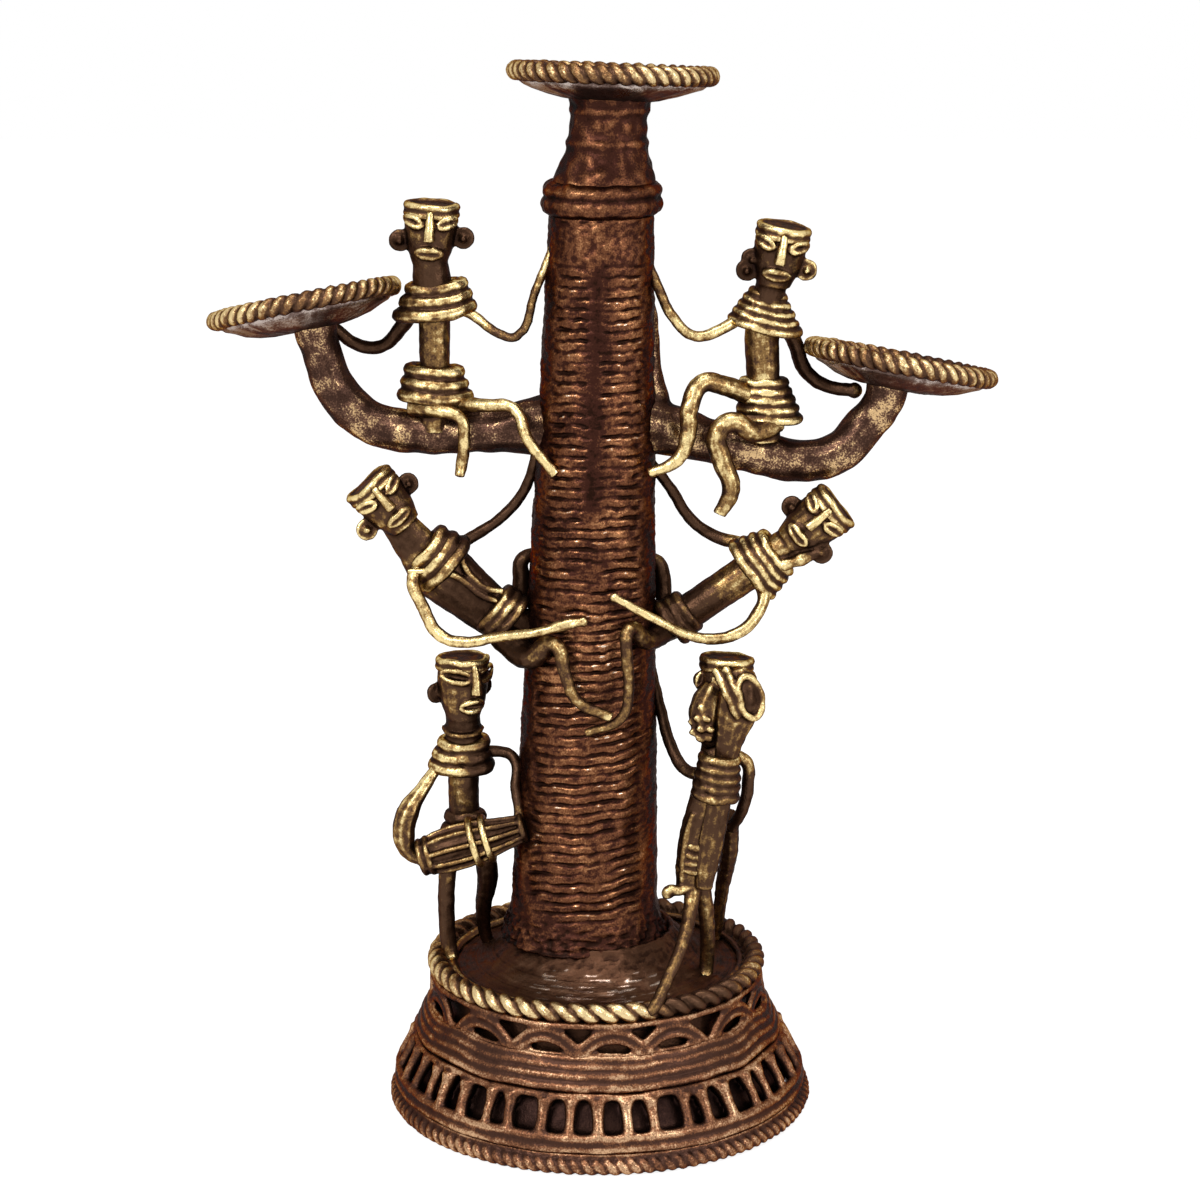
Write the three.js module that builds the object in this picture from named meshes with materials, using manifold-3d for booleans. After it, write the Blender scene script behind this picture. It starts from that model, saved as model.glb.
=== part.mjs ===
// Cast brass candle stand: a banded base, a palm trunk with two branches,
// three candle plates with rope rims and six wire-wrapped folk figures.
// Millimetres, +Z up, -Y is the front, the origin is under the middle of the base.

import * as THREE from 'three';
import { mergeVertices } from 'three/addons/utils/BufferGeometryUtils.js';
import Module from 'manifold-3d';

const wasm = await Module();
wasm.setup();

// Clearance between neighbouring pieces
const GAP = 0.3;

// Base
const BASE_RADIUS = 62.6;
const FOOT_RADIUS = BASE_RADIUS - 2.8;
const FOOT_ROPE_TOP = 6.3;
const PILLAR_BAND_TOP = 21.2;
const MID_BANDS_TOP = 29.8;
const ARCH_BAND_TOP = 40;
const DRUM_FOOT_RADIUS = BASE_RADIUS - 7.6;
const BASE_TOP_X = -1.2;
const DRUM_WALL = 3;
const FLOOR_HEIGHT = 41.5;
const MOUND_HEIGHT = 50;
const MOUND_RADIUS = 26;
const RIM_RADIUS = BASE_RADIUS - 15.7;
const RIM_HEIGHT = 43;
const RIM_ROPE_RADIUS = 2.7;
const SHOULDER_CLEARANCE = 0.5;
const PILLAR_RECESS = 1.2;
const PILLAR_COUNT = 43;
const PILLAR_WIDTH = 3.4;
const PILLAR_DEPTH = 4.6;
const PILLAR_FOOT_INSET = 4.1;
const WINDOW_FOOT = 11.7;
const WINDOW_HEAD = 19.4;
const WINDOW_WALL = 2.4;
const BAND_SWELL = 0.8;
const MOUND_FOOT_WIDTH = 12;
const MOUND_MIDDLE_WIDTH = 5;
const BASE_SIDES = 36;
const PILLAR_BAND_TOP_RADIUS = BASE_RADIUS - 6.6;
const MID_BANDS_TOP_RADIUS = BASE_RADIUS - 10.8;
const ARCH_BAND_TOP_RADIUS = BASE_RADIUS - 12.6;

// Column
const TRUNK_FOOT_RADIUS = 21.4;
const TRUNK_TOP_RADIUS = 14.7;
const TRUNK_TOP = 262;
const TRUNK_FLARE_TOP = 62;
const TRUNK_WALL = 3.5;
const TRUNK_FOOT_X = -4.9;
const TRUNK_TOP_X = 0.4;
const COLLAR_RADIUS = 17.3;
const COLLAR_HEIGHT = 9.2;
const NECK_FOOT_RADIUS = 14;
const NECK_RADIUS = 10.8;
const NECK_TOP_RADIUS = 12;
const NECK_SHIFT = 1.2;
const NECK_HEIGHT = 26.5;
const COLUMN_SIDES = 20;

// Candle plates, each with its rope rim
const PLATE_RADIUS = 25.2;
const PLATE_ROPE_RADIUS = 2.8;
const PLATE_FLOOR_RADIUS = 18;
const PLATE_FLOOR_THICKNESS = 2;
const PLATE_HUB_RADIUS = 10;
const PLATE_HUB_DEPTH = 2;
const DISH_DEPTH = 5.2;
const LIP_CLEARANCE = 1.12;
const LIP_TURN = 0.36;
const PLATE_SIDES = 28;
const TOP_PLATE_RADIUS = 26.8;
const TOP_PLATE_RISE = 3.5;
const LEFT_PLATE_RISE = 33.8;
const RIGHT_PLATE_RISE = 17;

// Branches: their bends are heights above the place where they leave the trunk
const LEFT_BRANCH_HEIGHT = 203;
const RIGHT_BRANCH_HEIGHT = 203;
const LEFT_BRANCH = {
  height: LEFT_BRANCH_HEIGHT,
  root: 13.2,
  shaft: 6.3,
  tip: 5.6,
  bends: [[-17, 2, -1], [-34, 3, -2.5], [-54, 4, -3], [-67, 5, 0.5], [-75, 5, 9], [-79, 4, 20]],
};
const RIGHT_BRANCH = {
  height: RIGHT_BRANCH_HEIGHT,
  root: 11.5,
  shaft: 6.2,
  tip: 5.4,
  bends: [
    [17, 2, -1.5], [31, 3, -5.5], [46, 4, -9.5], [59, 5, -11.7],
    [68, 5, -9.5], [75, 5, -2], [80, 4, 4.5],
  ],
};
const NECK_TOP = TRUNK_TOP + COLLAR_HEIGHT + NECK_HEIGHT;
const TOP_PLATE = {
  x: 3.6,
  y: 0,
  z: NECK_TOP + TOP_PLATE_RISE,
  side: 2,
  back: 3.2,
  radius: TOP_PLATE_RADIUS,
};
const LEFT_PLATE = {
  x: -83.4,
  y: 3,
  z: LEFT_BRANCH_HEIGHT + LEFT_PLATE_RISE,
  side: -11.6,
  back: 8.8,
  radius: PLATE_RADIUS,
};
const RIGHT_PLATE = {
  x: 85.2,
  y: 3,
  z: RIGHT_BRANCH_HEIGHT + RIGHT_PLATE_RISE,
  side: 10.5,
  back: 6.6,
  radius: PLATE_RADIUS,
};

// Figures: shared thicknesses
const NECK_GIRTH = 4.5;
const TORSO_GIRTH = 4.4;
const ARM_SIDES = 5;
const HEAD_SIDES = 8;
const HEADBAND_RISE = 0.9;
const HEAD_GIRTH = 6.6;
const HEADBAND_WALL = 1.7;
const HEADBAND_HEIGHT = 4.4;
const EAR_RADIUS = 3.1;
const WIRE_RELIEF = 0.7;
const BODY_DEPTH = 0.72;
const LIMB_STEP = 6;
const LIMB_SIDES = 6;
const WRAP_SIDES = 10;
const HEAD_DEPTH = 0.9;

// Figures: where they sit, climb and stand
const LEFT_SITTER_SHARE = 0.46;
const RIGHT_SITTER_SHARE = 0.485;
const SITTER_FORWARD = 2;
const LEFT_SITTER_RISE = 3;
const RIGHT_SITTER_RISE = 7;
const LEFT_CLIMBER_DROP = 67;
const RIGHT_CLIMBER_DROP = 63;
const DRUMMER_INSET = 6.9;
const DRUMMER_FORWARD = 2;
const HORN_PLAYER_INSET = 16.9;
const HORN_PLAYER_FORWARD = 16;
const STANDING_RISE = 1;
const DRUMMER_ROOM = 93.5;
const HORN_PLAYER_ROOM = 97.5;

const BRASS = { color: 0xb98d3e, roughness: 0.38, metalness: 0.9 };
const PATINA = { color: 0x5c3119, roughness: 0.45, metalness: 0.8 };

const vector = (point) => new THREE.Vector3(...point);

function toSolid(geometry) {
  geometry.deleteAttribute('normal');
  geometry.deleteAttribute('uv');
  const merged = mergeVertices(geometry, 1e-4);
  const corners = merged.index.array;
  const faces = [];
  for (let i = 0; i < corners.length; i += 3) {
    const [a, b, c] = [corners[i], corners[i + 1], corners[i + 2]];
    if (a !== b && b !== c && c !== a) faces.push(a, b, c);
  }
  return new wasm.Manifold(new wasm.Mesh({
    numProp: 3,
    vertProperties: new Float32Array(merged.attributes.position.array),
    triVerts: new Uint32Array(faces),
  }));
}

// A solid of revolution about Z from [radius, height] points, walked with the solid on the left
function turned(profile, segments) {
  const points = profile.map(([radius, height]) => new THREE.Vector2(radius, height));
  return new THREE.LatheGeometry(points, segments).rotateX(Math.PI / 2);
}

// A round rope or ring about Z
function ringRope(radius, thickness, sides, segments) {
  return new THREE.TorusGeometry(radius, thickness, sides, segments);
}

// A tapering round bar along a smooth route, its girths spread evenly from start to end
function limb(route, girths, { grow = 0, sides = LIMB_SIDES, flat = 1 } = {}) {
  const curve = new THREE.CatmullRomCurve3(route.map(vector), false, 'centripetal');
  const steps = Math.max(2, Math.round(curve.getLength() / LIMB_STEP));
  const frames = curve.computeFrenetFrames(steps, false);
  const bar = new THREE.CylinderGeometry(1, 1, 1, sides, steps);
  const position = bar.attributes.position;
  const spot = new THREE.Vector3();
  for (let i = 0; i < position.count; i += 1) {
    const share = THREE.MathUtils.clamp(position.getY(i) + 0.5, 0, 1);
    const station = Math.round(share * steps);
    const along = share * (girths.length - 1);
    const before = Math.min(Math.floor(along), girths.length - 2);
    const girth = THREE.MathUtils.lerp(girths[before], girths[before + 1], along - before) + grow;
    const overrun = grow * (share === 0 ? -1 : Number(share === 1));
    curve.getPointAt(share, spot);
    spot.addScaledVector(frames.tangents[station], overrun);
    const across = frames.binormals[station].clone().multiplyScalar(position.getX(i) * girth);
    across.addScaledVector(frames.normals[station], position.getZ(i) * girth);
    across.y *= flat;
    spot.add(across);
    position.setXYZ(i, spot.x, spot.y, spot.z);
  }
  return toSolid(bar);
}

// A stack of wound wires around an axis, wider across than deep
function wraps({ from, to, radii, count, depth = BODY_DEPTH }, grow = 0) {
  const start = vector(from);
  const axis = vector(to).sub(start);
  const height = axis.length();
  const profile = [[0, -grow]];
  for (let wire = 0; wire < count; wire += 1) {
    const share = (wire + 0.5) / count;
    const radius = THREE.MathUtils.lerp(radii[0], radii[1], share) + grow;
    const low = wire === 0 ? -grow : (wire / count) * height;
    profile.push([radius - WIRE_RELIEF, low], [radius, share * height]);
  }
  const last = radii[1] + grow - WIRE_RELIEF;
  profile.push([last, height + grow], [0, height + grow]);
  const shape = turned(profile, WRAP_SIDES);
  shape.scale(1, depth, 1);
  const turn = new THREE.Quaternion().setFromUnitVectors(new THREE.Vector3(0, 0, 1), axis.normalize());
  shape.applyQuaternion(turn);
  shape.translate(start.x, start.y, start.z);
  return toSolid(shape);
}

function ball(centre, radii, grow = 0) {
  const shape = new THREE.SphereGeometry(1, 8, 6);
  shape.scale(...radii.map((radius) => radius + grow));
  shape.translate(...centre);
  return toSolid(shape);
}

// A shear along X that keeps everything level: no shift at one height, a full shift at another
function sheared(geometry, still, moved, shiftX) {
  const slope = shiftX / (moved - still);
  const shear = new THREE.Matrix4().set(1, 0, slope, -slope * still, 0, 1, 0, 0, 0, 0, 1, 0, 0, 0, 0, 1);
  return geometry.applyMatrix4(shear);
}

function leanBase(geometry) {
  return sheared(geometry, 0, RIM_HEIGHT, BASE_TOP_X);
}

// The column leans: its middle line at a height
function columnX(height) {
  const share = (height - MOUND_HEIGHT) / (TRUNK_TOP - MOUND_HEIGHT);
  return THREE.MathUtils.lerp(TRUNK_FOOT_X, TRUNK_TOP_X, share);
}

function lean(geometry) {
  geometry.translate(TRUNK_FOOT_X, 0, 0);
  return sheared(geometry, MOUND_HEIGHT, TRUNK_TOP, TRUNK_TOP_X - TRUNK_FOOT_X);
}

function trunkRadius(height) {
  const share = (height - TRUNK_FLARE_TOP) / (TRUNK_TOP - TRUNK_FLARE_TOP);
  return THREE.MathUtils.lerp(TRUNK_FOOT_RADIUS, TRUNK_TOP_RADIUS, share);
}

// Base
function shoulderRadius() {
  return RIM_RADIUS - RIM_ROPE_RADIUS - SHOULDER_CLEARANCE;
}

function drumRadius(height) {
  return THREE.MathUtils.lerp(DRUM_FOOT_RADIUS, shoulderRadius(), height / ARCH_BAND_TOP);
}

function trunkBore() {
  return MOUND_RADIUS - TRUNK_WALL;
}

function baseDrum(grow) {
  const under = FLOOR_HEIGHT - DRUM_WALL;
  const bore = trunkBore() - grow;
  return toSolid(leanBase(turned([
    [drumRadius(0) - DRUM_WALL - grow, -grow],
    [drumRadius(0) + grow, -grow],
    [shoulderRadius() + grow, ARCH_BAND_TOP],
    [shoulderRadius() + grow, FLOOR_HEIGHT - BAND_SWELL + grow],
    [MOUND_RADIUS + MOUND_FOOT_WIDTH, FLOOR_HEIGHT + grow],
    [MOUND_RADIUS + MOUND_MIDDLE_WIDTH, (FLOOR_HEIGHT + MOUND_HEIGHT) / 2 + grow],
    [MOUND_RADIUS + grow, MOUND_HEIGHT + grow],
    [bore, MOUND_HEIGHT + grow],
    [bore, under - grow],
    [shoulderRadius() - DRUM_WALL - grow, under - grow],
    [drumRadius(0) - DRUM_WALL - grow, -grow],
  ], BASE_SIDES)));
}

// A band around the drum between two heights, its outer face through the given radii
function baseBand(bottom, top, radii, grow) {
  const step = (top - bottom + 2 * grow) / (radii.length - 1);
  const outer = radii.map((radius, i) => [radius + grow, bottom - grow + i * step]);
  const inner = [
    [drumRadius(top) + GAP - grow, top + grow],
    [drumRadius(bottom) + GAP - grow, bottom - grow],
  ];
  return toSolid(leanBase(turned([...outer, ...inner, outer[0]], BASE_SIDES)));
}

function baseFootRope(grow) {
  return baseBand(0, FOOT_ROPE_TOP, [FOOT_RADIUS, BASE_RADIUS, BASE_RADIUS - PILLAR_RECESS], grow);
}

// Short posts stand round the band in front of a row of shallow windows
function pillars(grow) {
  const tall = PILLAR_BAND_TOP - WINDOW_FOOT;
  const foot = BASE_RADIUS - PILLAR_FOOT_INSET;
  const drift = drumRadius(PILLAR_BAND_TOP) - drumRadius(WINDOW_FOOT);
  const posts = [];
  for (let i = 0; i < PILLAR_COUNT; i += 1) {
    const post = new THREE.BoxGeometry(PILLAR_DEPTH + 2 * grow, PILLAR_WIDTH + 2 * grow, tall + 2 * grow);
    post.translate(foot, 0, WINDOW_FOOT - BAND_SWELL + tall / 2);
    sheared(post, WINDOW_FOOT, PILLAR_BAND_TOP, drift);
    posts.push(toSolid(leanBase(post.rotateZ((2 * Math.PI * i) / PILLAR_COUNT))));
  }
  return wasm.Manifold.union(posts);
}

function pillarBand(grow) {
  const bottom = FOOT_ROPE_TOP + GAP - grow;
  const top = PILLAR_BAND_TOP + grow;
  const inside = (height) => drumRadius(height) + GAP;
  const ring = turned([
    [inside(bottom) - grow, bottom],
    [BASE_RADIUS - PILLAR_RECESS + grow, bottom],
    [BASE_RADIUS - PILLAR_RECESS - BAND_SWELL + grow, WINDOW_FOOT + grow],
    [inside(WINDOW_FOOT) + WINDOW_WALL + grow, WINDOW_FOOT + grow],
    [inside(WINDOW_HEAD) + WINDOW_WALL + grow, WINDOW_HEAD - grow],
    [PILLAR_BAND_TOP_RADIUS + grow, WINDOW_HEAD - grow],
    [PILLAR_BAND_TOP_RADIUS + grow, top],
    [inside(top) - grow, top],
    [inside(bottom) - grow, bottom],
  ], BASE_SIDES);
  return toSolid(leanBase(ring)).add(pillars(grow));
}

function midBands(grow) {
  const middle = (PILLAR_BAND_TOP_RADIUS + MID_BANDS_TOP_RADIUS) / 2;
  const upper = [MID_BANDS_TOP_RADIUS + BAND_SWELL, MID_BANDS_TOP_RADIUS];
  const radii = [PILLAR_BAND_TOP_RADIUS, middle + BAND_SWELL, middle, ...upper];
  return baseBand(PILLAR_BAND_TOP + GAP, MID_BANDS_TOP, radii, grow);
}

function archBand(grow) {
  const radii = [MID_BANDS_TOP_RADIUS, ARCH_BAND_TOP_RADIUS + BAND_SWELL, ARCH_BAND_TOP_RADIUS];
  return baseBand(MID_BANDS_TOP + GAP, ARCH_BAND_TOP, radii, grow);
}

function rimRope(grow) {
  const rope = ringRope(RIM_RADIUS, RIM_ROPE_RADIUS + grow, 6, BASE_SIDES);
  return toSolid(leanBase(rope.translate(0, 0, RIM_HEIGHT)));
}

// Column
function trunk(grow) {
  const foot = MOUND_HEIGHT + GAP - grow;
  const top = TRUNK_TOP + grow;
  const flare = TRUNK_FLARE_TOP - foot;
  const bore = trunkBore() - grow;
  return toSolid(lean(turned([
    [bore, foot],
    [MOUND_RADIUS + grow, foot],
    [trunkRadius(foot + flare / 2) + 1 + grow, foot + flare / 2],
    [trunkRadius(TRUNK_FLARE_TOP) + grow, TRUNK_FLARE_TOP],
    [trunkRadius(TRUNK_TOP - 12) + grow, TRUNK_TOP - 12],
    [TRUNK_TOP_RADIUS + grow, top],
    [0, top],
    [0, TRUNK_TOP - TRUNK_WALL - grow],
    [TRUNK_TOP_RADIUS - TRUNK_WALL - grow, TRUNK_TOP - TRUNK_WALL - grow],
    [trunkRadius(TRUNK_FLARE_TOP) - TRUNK_WALL - grow, TRUNK_FLARE_TOP],
    [bore, foot],
  ], COLUMN_SIDES)));
}

function collar(grow) {
  const foot = TRUNK_TOP + GAP - grow;
  const top = TRUNK_TOP + COLLAR_HEIGHT + grow;
  const radius = COLLAR_RADIUS + grow;
  return toSolid(lean(turned([
    [0, foot],
    [radius - 1.2, foot],
    [radius, foot + 2.4],
    [radius - 0.8, foot + 5],
    [radius - 2, foot + 5.6],
    [radius - 1.2, foot + 7.4],
    [radius - 2.4, top],
    [0, top],
  ], COLUMN_SIDES)));
}

function neck(grow) {
  const foot = TRUNK_TOP + COLLAR_HEIGHT + GAP - grow;
  const top = NECK_TOP + grow;
  return toSolid(lean(turned([
    [0, foot],
    [NECK_FOOT_RADIUS + grow, foot],
    [NECK_RADIUS + grow, foot + NECK_HEIGHT * 0.4],
    [NECK_RADIUS + grow, foot + NECK_HEIGHT * 0.75],
    [NECK_TOP_RADIUS + grow, top],
    [0, top],
  ], COLUMN_SIDES)).translate(NECK_SHIFT, 0, 0));
}

// Candle plates
function plateMatrix({ x, y, z, side, back }) {
  const turn = new THREE.Euler(THREE.MathUtils.degToRad(-back), THREE.MathUtils.degToRad(side), 0);
  return new THREE.Matrix4().makeRotationFromEuler(turn).setPosition(x, y, z);
}

function plateDish(plate, grow) {
  const floor = -DISH_DEPTH + PLATE_ROPE_RADIUS;
  const under = floor - PLATE_FLOOR_THICKNESS - grow;
  const clear = (PLATE_ROPE_RADIUS + GAP) * LIP_CLEARANCE;
  const near = clear * Math.sin(LIP_TURN);
  const far = clear * Math.cos(LIP_TURN);
  const shape = turned([
    [0, under - PLATE_HUB_DEPTH],
    [PLATE_HUB_RADIUS + grow, under - PLATE_HUB_DEPTH],
    [PLATE_FLOOR_RADIUS + grow, under],
    [plate.radius - near + grow, -far - grow],
    [plate.radius - far - grow, -near + grow],
    [PLATE_FLOOR_RADIUS - 0.5, floor + grow],
    [0, floor + grow],
  ], PLATE_SIDES);
  return toSolid(shape.applyMatrix4(plateMatrix(plate)));
}

function plateRope(plate, grow) {
  const rope = ringRope(plate.radius, PLATE_ROPE_RADIUS + grow, 6, PLATE_SIDES);
  return toSolid(rope.applyMatrix4(plateMatrix(plate)));
}

// Branches
function branchRoute(branch, plate) {
  const start = [columnX(branch.height), 0, branch.height];
  const under = PLATE_ROPE_RADIUS - DISH_DEPTH - PLATE_FLOOR_THICKNESS / 2;
  const last = branch.bends[branch.bends.length - 1];
  const end = new THREE.Vector3(0, 0, under).applyMatrix4(plateMatrix(plate));
  end.x = (end.x + last[0]) / 2;
  const bends = branch.bends.map(([x, y, rise]) => [x, y, branch.height + rise]);
  return [start, ...bends, end.toArray()];
}

function branchSolid(branch, plate, grow) {
  const { root, shaft, tip } = branch;
  const girths = [root, (root + shaft) / 2, shaft, shaft, shaft, tip, tip];
  return limb(branchRoute(branch, plate), girths, { grow, sides: WRAP_SIDES });
}

// A seat in front of and above the middle line of a branch, at a share of its length
function seatOn(branch, plate, share, rise) {
  const curve = new THREE.CatmullRomCurve3(branchRoute(branch, plate).map(vector), false, 'centripetal');
  return curve.getPointAt(share).add(vector([0, -SITTER_FORWARD, rise]));
}

// Figures: routes are written from each figure's own spot
const upperLeftSitter = {
  name: 'upper_left_sitter',
  spot: seatOn(LEFT_BRANCH, LEFT_PLATE, LEFT_SITTER_SHARE, LEFT_SITTER_RISE),
  torso: [[0.5, 0, -2], [0.5, 0, 16], [0.5, 0, 34], [0, -2.3, 48]],
  head: [[-0.5, -2.5, 45.5], [0.5, -3, 62.5]],
  ears: [[-8, -2.5, 53], [8.6, -2.5, 53.5]],
  headband: [0.5, -3, 62],
  shawl: { from: [0.5, 0, 30], to: [1.5, -0.5, 40.5], radii: [13, 8.5], count: 3 },
  loincloth: { from: [0.5, 0, 6.5], to: [0.5, 0, 17], radii: [12, 8], count: 3 },
  legs: [
    {
      route: [[-6, -1, 5], [1.5, -6.5, 5], [8, -8.5, 3], [9, -8.7, -2], [8.3, -8.2, -10]],
      girths: [2.4, 1.8, 1.8],
    },
    {
      route: [[4, -1, 6], [15, -7.5, 6.5], [23, -9.5, 6], [27, -13, -2], [34, -14, -11]],
      girths: [2.2, 1.8, 1.8],
    },
  ],
  arms: {
    trunk: {
      route: [[6, 0, 34], [12, -2, 31], [19, -5, 26.5], [24, -6, 26], [29, -5.5, 38], [34, -4, 50]],
      girths: [1.5, 1.4],
    },
    plate: {
      route: [[-5, 0, 33], [-9, 4, 27], [-15, 7, 21], [-21, 8, 21], [-29, 6, 27]],
      girths: [2.3, 2],
    },
  },
};

const upperRightSitter = {
  name: 'upper_right_sitter',
  spot: seatOn(RIGHT_BRANCH, RIGHT_PLATE, RIGHT_SITTER_SHARE, RIGHT_SITTER_RISE),
  torso: [[0.5, 0, -3], [0.5, 0, 14], [0.5, 0, 34], [3.2, -2.4, 45]],
  head: [[2.8, -2.5, 42], [5.8, -4, 58.5]],
  ears: [[-3.2, -3, 49.5], [12, -3.5, 46.5]],
  headband: [5.6, -4, 58],
  shawl: { from: [0.8, 0, 29.5], to: [1.2, -1, 40], radii: [11.5, 6.5], count: 4 },
  loincloth: { from: [2.6, 0, 2], to: [0.6, 0, 15.5], radii: [10.5, 7], count: 5 },
  legs: [
    {
      route: [
        [-1, 0, 9], [-11, -6, 14], [-17, -8.5, 15], [-20.5, -11, 9], [-21, -12, 1],
        [-24, -13, -6], [-32, -12, -10],
      ],
      girths: [3, 2.8, 1.6],
    },
    {
      route: [
        [5, -3, 3], [-2.5, -8.5, 1], [-8.5, -10.5, 4.5], [-12.8, -11, 1], [-11.5, -11, -6],
        [-8.7, -11, -15], [-12, -11, -22.5],
      ],
      girths: [2.7, 3, 2.6],
    },
  ],
  arms: {
    trunk: {
      route: [
        [-4, 0, 34], [-12, -4, 29.5], [-19, -6, 28], [-25, -6, 33], [-30, -5, 43],
        [-34, -4, 52],
      ],
      girths: [1.7, 1.6],
    },
    plate: {
      route: [[5, 0, 33], [9.5, 4, 25], [13, 7, 16], [19, 8, 11.5], [27, 6, 10.5]],
      girths: [2.4, 2.1],
    },
  },
};

// A spot on the side of the trunk
function besideTrunk(side, height) {
  return new THREE.Vector3(columnX(height) + side * trunkRadius(height), 0, height);
}

const leftClimber = {
  name: 'left_climber',
  spot: besideTrunk(-1, LEFT_BRANCH_HEIGHT - LEFT_CLIMBER_DROP),
  torso: [[3, -2, 5], [-6, -2, 10], [-25, -3, 26], [-36.5, -5.2, 41]],
  torsoGirths: [5.4, 6.4, 7.4, 4.6],
  head: [[-33.5, -5.2, 38.5], [-44, -6, 51]],
  ears: [[-44.6, -6, 37.6], [-33, -3, 50.3]],
  headband: [-43.6, -6, 50.6],
  shawl: { from: [-20, -3, 24.5], to: [-28.5, -4, 33], radii: [9.5, 7], count: 4, depth: 0.95 },
  loincloth: { from: [-3.5, -2, 9.5], to: [-9.5, -2, 14.5], radii: [9.5, 8.4], count: 3, depth: 0.95 },
  legs: [
    {
      route: [
        [-6, -3, 6], [2, -14, 2], [9, -20, 7.5], [12, -22.5, -1], [15, -23, -8],
        [25, -24, -13],
      ],
      girths: [5, 2.6, 1.6],
    },
    { route: [[-5, 1, 7], [-3.5, 5, 15], [-2.5, 7, 23], [7, 10, 26]], girths: [2.6, 2.2, 2.2] },
  ],
  arms: {
    front: {
      route: [
        [-28, -5, 28], [-31.5, -8, 24], [-28.5, -11, 16], [-24, -13, 8.5], [-18, -15, 6.8],
        [-6.5, -17.5, 9], [5, -21.5, 11.5], [16, -20, 14],
      ],
      girths: [1.8, 1.7, 1.2],
    },
    back: {
      route: [[-23, 0, 29.5], [-14, 3, 34], [-6, 3.5, 39.5], [0, 3, 47], [3.5, 1, 57]],
      girths: [1.8, 1.6],
    },
  },
};

const rightClimber = {
  name: 'right_climber',
  spot: besideTrunk(1, RIGHT_BRANCH_HEIGHT - RIGHT_CLIMBER_DROP),
  torso: [[-3, -2, 2], [7, -2, 7], [29, -3, 22.5], [40.5, -5.3, 31.5]],
  torsoGirths: [4.8, 5.2, 5.4, 4.4],
  head: [[37.5, -5.2, 29.5], [51, -6, 40.5]],
  ears: [[38.6, -3, 39.6], [47, -8, 27.2]],
  headband: [50.6, -6, 40.2],
  shawl: { from: [26.5, -3, 20.5], to: [35, -4, 27], radii: [10.5, 8], count: 4, depth: 0.95 },
  loincloth: { from: [3.5, -2, 4.5], to: [10, -2, 9.5], radii: [8.4, 7], count: 3, depth: 0.95 },
  legs: [
    {
      route: [
        [4, -3, 4], [-3, -14, 3], [-8, -21, 8], [-8.5, -23, 0], [-8, -23.5, -9],
        [-10, -24, -17], [-20, -22, -22],
      ],
      girths: [3.6, 2, 1.5],
    },
    { route: [[4, 1, 5], [3.5, 5, 12], [1, 7, 19], [-7, 10, 21]], girths: [2.6, 2.2, 2.2] },
  ],
  arms: {
    front: {
      route: [
        [28, -5, 20], [30.5, -9, 15], [28.5, -11.5, 10], [24.5, -13.5, 6], [18, -15.5, 4],
        [10, -17, 5], [0, -20.5, 10.5], [-12, -20, 17],
      ],
      girths: [1.8, 1.7, 1.2],
    },
    back: {
      route: [[26, 0, 27.5], [16, 3, 30], [9.5, 3.5, 35], [4.5, 3, 43], [-2, 1, 52]],
      girths: [1.9, 1.6],
    },
  },
};

// A standing figure is as tall as the room left under the climber above it
function stature(climberHeight, room) {
  return (climberHeight - FLOOR_HEIGHT - STANDING_RISE) / room;
}

const drummer = {
  name: 'drummer',
  stature: stature(LEFT_BRANCH_HEIGHT - LEFT_CLIMBER_DROP, DRUMMER_ROOM),
  spot: new THREE.Vector3(DRUMMER_INSET - RIM_RADIUS, -DRUMMER_FORWARD, FLOOR_HEIGHT + STANDING_RISE),
  torso: [[0.5, 2, 30], [0.2, 2, 46], [0.2, 1, 66], [0.3, -0.4, 77]],
  head: [[0.3, -1, 74.5], [0.5, -1, 92.5]],
  ears: [[-7.6, 0, 82], [8.4, 0.5, 83]],
  headband: [0.2, -1, 92],
  shawl: { from: [-0.5, 2, 57.5], to: [0.6, 1, 68.5], radii: [10.5, 7.5], count: 3 },
  loincloth: { from: [1, 2, 33], to: [0.5, 2, 46], radii: [9.5, 6.5], count: 3 },
  legs: [
    { route: [[-3.5, 1, 36], [-5, 1, 24], [-5.2, 1, 12], [-4, 0, -4]], girths: [2.8, 2.4, 2.4] },
    { route: [[5.5, 2, 36], [6.8, 5, 24], [5.3, 10, 13], [6.2, 15, -1]], girths: [3.4, 3.2, 1.8] },
  ],
  arms: {
    left: {
      route: [
        [-4, 1, 62], [-7.5, -1, 59], [-12, -5, 53], [-16.5, -8, 48], [-18, -9, 41],
        [-16, -9, 36], [-11, -9, 34],
      ],
      girths: [1.5, 2, 2.8, 2.2],
    },
    right: {
      route: [[4, 1, 63], [10, 2, 63.5], [15, 0, 62], [15.5, -4, 54], [16.5, -7, 46], [15, -9, 42]],
      girths: [1.7, 1.6],
    },
  },
};

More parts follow.
